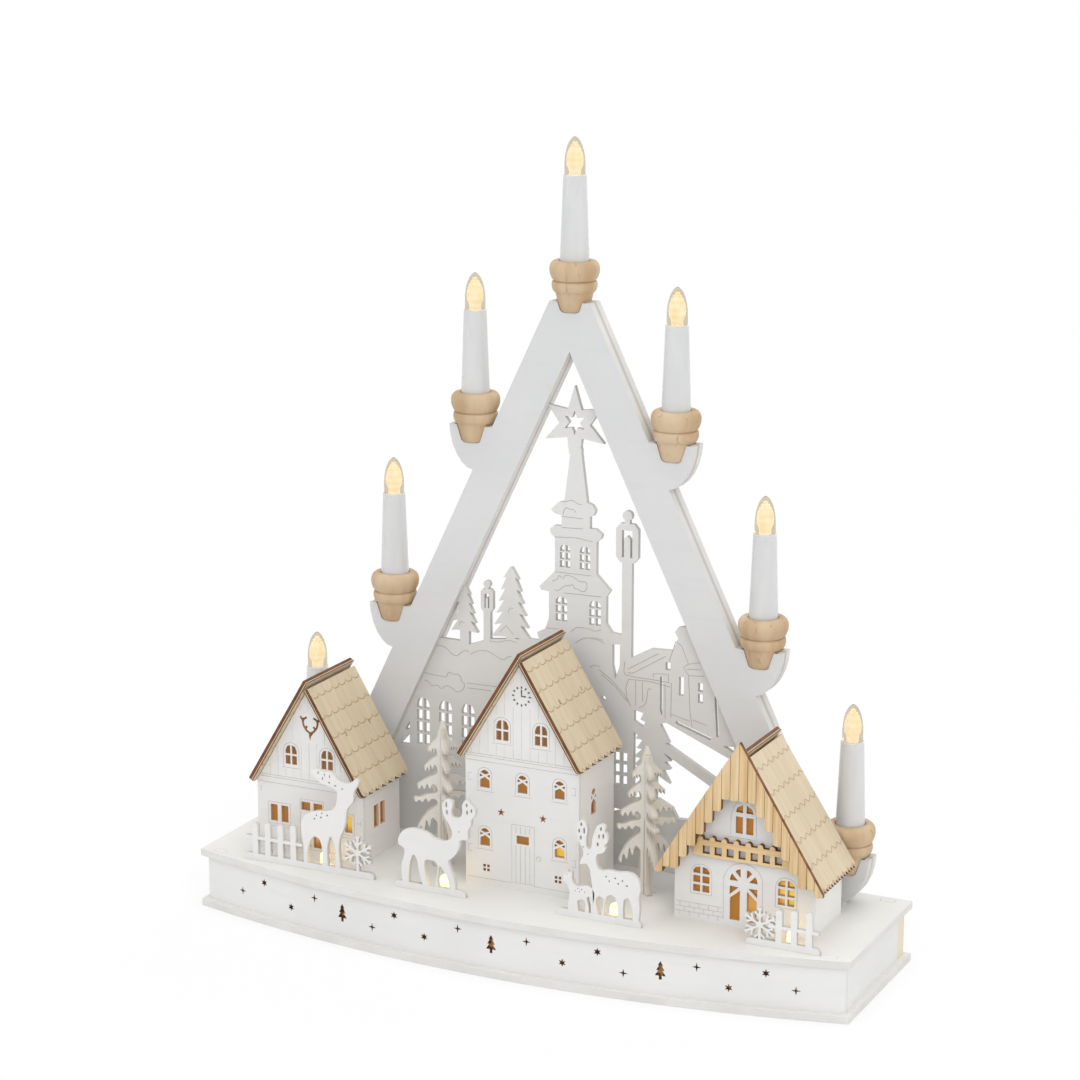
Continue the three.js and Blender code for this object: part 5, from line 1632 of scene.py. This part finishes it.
@dataclass
class Figure:
    """A strip of figures that stands in the deck on two tabs."""

    name: str
    x0: float
    x1: float
    y: float
    animals: tuple = ()
    pickets: tuple = ()
    rail: tuple = ()
    flake: tuple = ()
    thickness: float = 3.0
    strip: float = 3.8
    tab: float = 8.0
    tab_drop: float = 3.55
    picket_half: float = 1.8
    sharp: float = 1.0

    def base(self) -> Line:
        """Draws the strip with its softened ends and two tabs.

        Returns:
            Its outline.
        """
        half = self.tab / 2
        tabs = [(x + dx, z) for x in (self.x0 + self.tab, self.x1 - self.tab)
                for dx, z in ((-half, 0.02), (-half, -self.tab_drop), (half, -self.tab_drop),
                              (half, 0.02))]
        end = ((0, 0.02), (0.1, 1.6), (0.8, 3.0), (2.2, self.strip))
        return [*tabs, *((self.x1 - dx, z) for dx, z in end),
                *((self.x0 + dx, z) for dx, z in reversed(end))]

    def snowflake(self, x: float, z: float) -> Line:
        """Draws a six-armed snowflake with a pair of twigs on every arm.

        Args:
            x: Its middle.
            z: Its middle's height.

        Returns:
            Its outline.
        """
        arm = [(1.47, 0.85), (4.6, 0.85), (6.9, 3.2), (7.6, 2.6), (5.9, 0.85), (8.6, 0.85),
               (9.3, 1.3), (9.7, 0.0)]
        both = [(u, -v) for u, v in arm] + arm[-2:0:-1]
        points = []
        for turn in (math.pi * (i + 0.5) / 3 for i in range(6)):
            ca, sa = math.cos(turn), math.sin(turn)
            points += [(x + u * ca - v * sa, z + u * sa + v * ca) for u, v in both]
        return flowing(points, pace=0.8)

    def shapes(self) -> list[tuple[Layer, list[Line]]]:
        """Draws every part of the strip.

        Returns:
            Each part's layer with its outline and holes.
        """
        shapes = [(Layer.BASE, [self.base()])]
        for shift, outline, holes in self.animals:
            loops = [flowing(outline, sharp=self.sharp), *(oval(*hole) for hole in holes)]
            shapes.append((Layer.ANIMAL, [shifted(loop, shift, 0) for loop in loops]))
        half = self.picket_half
        for x, top in self.pickets:
            shapes.append((Layer.PICKET, [[(x - half, 0.8), (x + half, 0.8), (x + half, top - 1.2),
                                           (x, top), (x - half, top - 1.2)]]))
        if self.rail:
            shapes.append((Layer.RAIL, [rectangle(*self.rail)]))
        if self.flake:
            x, z = self.flake
            shapes.append((Layer.FLAKE, [self.snowflake(x, z)]))
            shapes.append((Layer.POST, [rectangle(x - 0.85, x + 0.85, 1.0, z - 2.0)]))
        return shapes

    def build(self, paint: Material) -> None:
        """Cuts the boards, joins them and seats the figure.

        Args:
            paint: The white paint.
        """
        boards = [board(f"{self.name}_{i}", [shifted(loop, 0, DECK) for loop in loops],
                        upright(self.y + self.thickness / 2), layer.value)
                  for i, (layer, loops) in enumerate(self.shapes())]
        seat(fused(f"{self.name}_board", boards), paint, [self.name])


# Outlines of the deer over the deck, with their holes: place and half sizes
STANDING_STAG = traced("""
    3.5,1 2.9,14.6 4.3,19.1 4.5,22.6 3.1,24.4 1.3,24.9 0.6,27.3 1.7,30.8 3.9,33.7 7.4,35.4 11.3,35.8
    15.9,35.4 20,34.1 22.8,32.4 26.3,31.5 29.8,31.4 32.6,32.6 34.5,34.9 34.7,37.5 33.7,40.3 29.2,48
    28.9,53.4 30.3,55.4 32.8,56.1 34.8,55.3 35.2,53.9 34.2,48.4 34.9,46.4 37.5,45.9 39.7,46.7
    40.9,48.5 41.5,54.9 42.8,57 44.2,57.5 46,55.6 47.9,54 49.4,51.7 48.6,48.4 46.6,46.1 46.5,43.2
    44.7,40 44,34.1 41.6,33.9 39.6,33 39.3,30.1 37.4,25.9 34.6,22.2 32.3,20.3 32.8,17.4 36,9.4
    36.8,1 33.7,1 30,13 27,16.3 26,13 25.9,1 23.2,1 23.4,18.8 20.6,19 17.9,18.6 17.4,13 20.6,1
    16.9,1 13.5,12.3 12.5,17.7 10.4,20.7 9,18.2 7.5,10.7 7.2,1""")
STANDING_STAG_HOLES = traced("""
    31.3,53,0.7,1.8 31.7,48.6,0.6,1.5 44,54.4,0.6,1.2 46.9,51.7,0.6,1.2 44.2,50.2,0.6,1.4
    39.2,38.3,0.4,0.4""")
RESTING_STAG = traced("""
    37.1,1 37.9,11.8 37.4,16.2 38.3,23.3 37.4,26.6 35,29.2 31.7,30.4 24.5,29.8 18.9,30.1 15.9,29.3
    14.1,29.8 12.6,31.8 12,34.9 12.3,37.5 16.8,40.1 17.6,42.4 16.8,43.6 18.4,45.3 18.9,48 18.2,50.3
    17.1,51.5 17.5,53.8 16.7,55.3 14.1,55.3 10.5,49.2 7.6,40.5 6.6,41 6.1,44.1 6.5,53 5,55.6
    3.2,56.3 1.7,55.1 0.5,52.1 0.4,48.3 4.3,36.2 2.6,32.7 2.4,31.1 6.6,31.6 7.9,29.8 8.8,26.1 10.7,1
    14,1 13.9,14.2 14.8,14.3 14.9,1 17.2,1 17.6,12.3 18.9,15.3 20.9,16.3 22.9,15.7 24.6,10.9 25.1,1
    28.4,1 28.3,10.8 29,14.8 30.8,16 33.1,12.3 34,1""")
RESTING_STAG_HOLES = traced("""
    3.2,53.8,0.6,1.2 1.9,50,0.6,1.3 2.9,46.2,0.6,1.3 4.9,50.4,0.6,1.9 14.9,52.9,0.6,1.2
    16.3,48.9,0.65,1.5 13.7,48.4,0.55,1.3 13,43.8,0.6,1.3 4.3,41.1,0.45,0.45 7.2,37.4,0.4,0.4
    18.1,26.3,0.5,0.5 20,24,0.5,0.5 23.5,26.1,0.55,0.55 25.3,23.3,0.55,0.55 27.8,25.3,0.55,0.55
    30.4,22.9,0.6,0.6""")
FAWN = traced("""
    3.2,1 3.5,8.6 4.3,11.9 3.1,17.5 2.3,19 0.8,19.7 0.4,20.9 1.8,25.3 2.8,26.1 3.6,24.9 4.6,26
    5.6,25.3 5.6,22.4 6.7,19.3 8,18.2 14.3,19.2 17.3,18.5 19,16.3 19.3,13.8 18.7,9.8 18.7,1 16.9,1
    16.9,9.5 15.7,13.2 14.7,12 15.7,8 15.7,1 13.2,1 12.4,10.7 10,10.3 10,1 5.7,1""")
FAWN_HOLES = traced("""
    7.7,15.3,0.35,0.35 9.2,16.7,0.35,0.35 10.3,15,0.35,0.35 11.6,16.6,0.35,0.35 13.3,15.3,0.35,0.35
    2.7,24,0.3,0.3""")
CALLING_STAG = traced("""
    1.7,1 1.8,11.7 0.4,24.9 0.8,28.9 2.9,31.9 7.4,34.6 22.7,39.8 24.1,43.7 24.3,49 12.1,53.8
    7.9,59.8 11.6,60.9 15.2,59.6 19.5,60.2 26.6,55.2 30.9,54.9 33.8,56 36.7,58.3 38.2,57.3 35.3,50.6
    34.5,44.6 31,40.1 29.4,31.3 27.9,26.4 26.4,23.5 25.7,1 22.2,1 22.3,16.3 20.9,20 19.5,21.8
    18.3,19 17.7,1 13.4,1 13.5,16.2 11.8,19.6 9.2,20.2 7,18.5 5.1,14.2 4.5,1""")
CALLING_STAG_HOLES = traced("""
    9.3,30.9,0.55,0.55 10.8,33.2,0.5,0.5 13.6,32.3,0.55,0.55 14.2,34.9,0.5,0.5 17.7,34.1,0.55,0.55
    27.8,51.3,0.5,0.5 15.1,55.7,0.4,1.1 19.4,53.8,0.8,0.45 23.3,52.5,0.9,0.4 12.3,58.8,0.4,0.9
    16.4,58,0.4,0.9 19.8,57.6,0.4,1.1""")


def figures() -> list[Figure]:
    """The four strips of figures, from the left to the right."""
    return [
        Figure("figure_deer_fence", -169, -83.5, -39.5,
               animals=((-131, CALLING_STAG, CALLING_STAG_HOLES),),
               pickets=((-161.4, 22.6), (-153.1, 23.4), (-144.7, 23.8), (-136.2, 24.6)),
               rail=(-167.6, -130.0, 12.6, 14.4), flake=(-94, 14.6)),
        Figure("figure_deer", -69, -24, -42,
               animals=((-67, STANDING_STAG, STANDING_STAG_HOLES),)),
        Figure("figure_deer_fawn", 31.5, 82, -41,
               animals=((43, RESTING_STAG, RESTING_STAG_HOLES), (35, FAWN, FAWN_HOLES))),
        Figure("figure_fence", 140.5, 182.5, -36,
               pickets=((159.2, 22), (167.7, 22.9), (176.2, 23.4)), rail=(153, 181.6, 11, 12.8),
               flake=(148.4, 11.6)),
    ]


@dataclass
class Stage:
    """Floor, light and camera."""

    position: tuple = (674.7, -1379.7, 605.9)
    forward: tuple = (-0.42612, 0.87330, -0.23616)
    up: tuple = (-0.10356, 0.21224, 0.97172)
    lens: float = 96.26
    near: float = 0.23
    far: float = 0.5
    grey: Colour = (0.9, 0.9, 0.9, 1.0)
    sky: Colour = (0.97, 0.98, 1.0, 1.0)
    lamps: tuple = (("key", (1.5, -2.0, 1.9), 0.15, 1.6, 20),
                    ("fill", (-2.0, -1.3, 1.2), 0.15, 1.8, 8),
                    ("side", (2.3, -0.4, 1.0), 0.1, 1.8, 4),
                    ("top", (0.0, 0.0, 2.6), 0.1, 1.6, 17),
                    ("rear", (0.6, 2.2, 1.4), 0.2, 1.6, 9))

    def floor(self) -> None:
        """Lays a floor that is white from a little way off and keeps the object's shadow."""
        clear_selection()
        bpy.ops.mesh.primitive_grid_add(x_subdivisions=4, y_subdivisions=4, size=60.0,
                                        location=(0, 0, -0.0002))
        ground = named(bpy.context.object, "floor")
        s = MaterialSheet("floor white")
        s.set(Base_Color=self.grey, Roughness=0.9, Specular_IOR_Level=0.0)
        plain = s.add("ShaderNodeEmission", {"Color": WHITE, "Strength": 1.0})
        away = s.vector("LENGTH", s.place(), output="Value")
        share = s.math("ADD", s.product(s.step(away, self.near, self.far), 0.35), 0.65)
        mixed = s.add("ShaderNodeMixShader", {0: s.product(s.seen(), share),
                                              1: s.shader.outputs["BSDF"], 2: plain.outputs[0]})
        s.plug(s.output.inputs["Surface"], mixed.outputs[0])
        ground.data.materials.append(s.material)

    def world(self) -> None:
        """Sets the white surround and its soft light."""
        world = bpy.data.worlds.new("studio")
        bpy.context.scene.world = world
        world.use_nodes = True
        s = NodeSheet(world.node_tree)
        soft, plain = (s.add("ShaderNodeBackground", {"Color": colour, "Strength": strength})
                       for colour, strength in ((self.sky, 0.7), (WHITE, 1.0)))
        mixed = s.add("ShaderNodeMixShader", {0: s.seen(), 1: soft.outputs[0],
                                              2: plain.outputs[0]})
        s.add("ShaderNodeOutputWorld", {"Surface": mixed.outputs[0]})

    def lamp(self, name: str, place: tuple, height: float, size: float, power: float) -> None:
        """Hangs one soft area lamp.

        Args:
            name: Name of the lamp.
            place: Its place in metres.
            height: Height of the point on the middle axis that it looks at.
            size: Its side in metres.
            power: Its power in watts.
        """
        data = bpy.data.lights.new(name, "AREA")
        data.shape, data.size, data.energy = "SQUARE", size, power
        lamp = bpy.data.objects.new(name, data)
        lamp.location = place
        ray = Vector((0, 0, height)) - Vector(place)
        lamp.rotation_euler = ray.to_track_quat("-Z", "Y").to_euler()
        bpy.context.scene.collection.objects.link(lamp)

    def camera(self) -> None:
        """Puts the camera where the photograph was taken from."""
        data = bpy.data.cameras.new("photo camera")
        data.sensor_width, data.lens = 36.0, self.lens
        data.clip_start, data.clip_end = 0.05, 60.0
        eye = bpy.data.objects.new("photo camera", data)
        forward, up = Vector(self.forward).normalized(), Vector(self.up).normalized()
        turn = Matrix((forward.cross(up), up, -forward)).transposed().to_4x4()
        eye.matrix_world = Matrix.Translation(Vector(self.position) * MM) @ turn
        bpy.context.scene.collection.objects.link(eye)
        bpy.context.scene.camera = eye

    def build(self) -> None:
        """Sets floor, surround, lamps and camera."""
        self.floor()
        self.world()
        for lamp in self.lamps:
            self.lamp(*lamp)
        self.camera()
        bpy.context.scene.view_settings.view_transform = "Standard"


def left_house() -> House:
    """Draws the left house with its gable boards, doorway and window borders.

    Returns:
        The house.
    """
    yellow, peach = srgb(250, 206, 88), srgb(236, 206, 160)
    house = House("left_house", -136.5, -19, 24, 70, 106.3, 38.6, 41.8, -24, 30,
                  ShingleCut.SCALLOP,
                  spots=((23.6, 24.0, 9.0, yellow), (-1.5, 14.0, 10.0, peach)),
                  slots=((37.0, -10.0), (37.0, 17.0)))
    house.gable((44.0, 45.4, 40.6), (50.5, 68.0), (-6.5, 9.0, 68.0, 87.0))
    for x in WINDOWS:
        house.window(x, 53.5, 7.5, 11.6, 1.4, (6.2, 2.2))
    house.door(-6.6, 9, 3.6, 33.6, 3.6)
    for x in (-20.5, 21.8):
        house.lines += [ring(rectangle(x - 7.4, x + 7.4, 16.1, 29.1)),
                        [(x - 8.8, 14.4), (x + 8.8, 14.4)]]
    house.lines += [[(-32.6, 38), (-32.6, 34.6)], [(30.5, 24), (33.4, 24)],
                    [(33.4, 25.4), (33.4, 22.6)]]
    return house


def middle_house() -> House:
    """Draws the middle house with its curtained windows, door and gable boards.

    Returns:
        The house.
    """
    house = House("middle_house", -1, -18, 28, 70, 138.9, 38.8, 75.6, -23, 33,
                  ShingleCut.SCALLOP,
                  spots=((23.6, 25.5, 7.5, srgb(250, 204, 80)),), levels=(62.0, 88.0),
                  side_low=srgb(168, 118, 68), side_high=srgb(186, 146, 108),
                  slots=((33.0, -7.0), (33.0, 21.0)))
    house.gable((75.4, 76.8, 72.8), (83.5, 101.0), (-6.8, 6.8, 106.5, 120.5))
    for x in WINDOWS:
        house.window(x, 86.5, 7.5, 11.8, 1.4, (6.2, 2.2))
    for x, z0 in ((-22.9, 57.5), (0.5, 57.5), (23.3, 57.5), (-22.9, 23.4), (23.3, 23.4)):
        house.window(x, z0, 6.4, 10.6, 1.1, (5.4, 2.2))
    for x, end in ((-33.4, -31.2), (33.0, 30.8)):
        house.lines += [[(end, z - 2), (x, z - 2), (x, z + 2), (end, z + 2)] for z in (63.0, 21.0)]
    house.door(-6.2, 7.8, 4.6, 38.6, 4.0)
    for low, high in ((4.6, 26.5), (33.6, 37.6)):
        house.lines += [[(x, low), (x, high)] for x in (-3.6, -0.8, 2.2, 5.0)]
    house.lines.append(ring(oval(10.4, 20.6, 1.4, 1.4, 14)))
    return house


def clock(house: House) -> None:
    """Engraves the gable's clock with bold marks and two hands.

    Args:
        house: The house that carries it.
    """
    z = 113.4
    marks = list(zip(*(arc(0, z, radius, radius, 6, range(12)) for radius in (4.5, 5.7))))
    marks.append([(0, z + 3.8), (0, z), (2.6, z)])
    engraved("clock_marks", on_wall(marks, house.x, house.front - ENGRAVING_RISE), 0.45,
             srgb(98, 94, 90), "clock line")


def chalet() -> House:
    """Draws the chalet with its window borders, arched doorway and courses of brick.

    Returns:
        The house.
    """
    yellow, honey = srgb(252, 214, 106), srgb(222, 168, 84)
    house = House("chalet", 130.6, -15, 28, 80.5, 100.8, 47.8, 27.8, -21, 30.5, ShingleCut.ZIGZAG,
                  spots=((25.5, 22.0, 11.0, yellow), (4.0, 14.0, 9.0, honey)),
                  low=srgb(182, 122, 48), levels=(60.0, 110.0))
    for x in (-24.6, 24.6):
        house.window(x, 16.3, 9.5, 14.4, 1.4, (6.3, 1.4))
    house.lines += [[(-8, 51.4), (-7.8, 62.7), (-5.6, 69.0), (-2.6, 71.2), (0.2, 71.5), (3.2, 70.6),
                     (5.6, 68.0), (6.6, 65.0), (6.8, 50.8)], [(-9.4, 50.6), (7.9, 50.3)],
                    [(-11.5, 3), (-11.7, 26.6), (-9.4, 31.9), (-5.8, 35.0), (-0.6, 36.4),
                     (4.6, 35.6), (8.6, 33.0), (10.8, 28.8), (11.3, 3)]]
    brick, course = 5.6, 2.6
    for row, z in enumerate((1.2, 3.9, 6.6)):
        right = -11.6 - 0.4 * row
        house.lines.append([(-39.5, z + course), (right, z + course)])
        joints = [-37.0 + brick * (k + row % 2 / 2) for k in range(6)]
        house.lines += [[(x, z), (x, z + course)] for x in joints if x < right - 0.5]
    return house


def main() -> None:
    """Builds everything in order."""
    logging.basicConfig(level=logging.INFO, format="%(message)s")
    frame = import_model()
    dresser = Dresser(frame["nodes"])
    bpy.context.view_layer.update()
    Stage().build()
    houses = left_house(), middle_house(), chalet()
    for part in (Box(), Village(), *houses):
        part.dress(dresser)
        part.build()
    clock(houses[1])
    for part in (Cladding(), Railing(), Candles(), DeckLamps(), Fir("tree_left", -61.0, 1.8),
                 Fir("tree_right", 62.0, 10.0)):
        part.build()
    figure_paint = PaintedBoard(edge=srgb(216, 212, 205)).dress("painted figure")
    for figure in figures():
        figure.build(figure_paint)
    dresser.dress(MouldedPlastic(srgb(232, 226, 204), 0.35), "wire jacket", "light_harness")
    dresser.dress(MouldedPlastic(), "black plastic", "battery_box", "battery_door",
                  "power_switch_body", "power_switch_slider")
    dresser.dress(MouldedPlastic(srgb(74, 120, 88), 0.32, 0.5), "cell sleeve",
                  "battery_1", "battery_2", "battery_3")


if __name__ == "__main__":
    main()
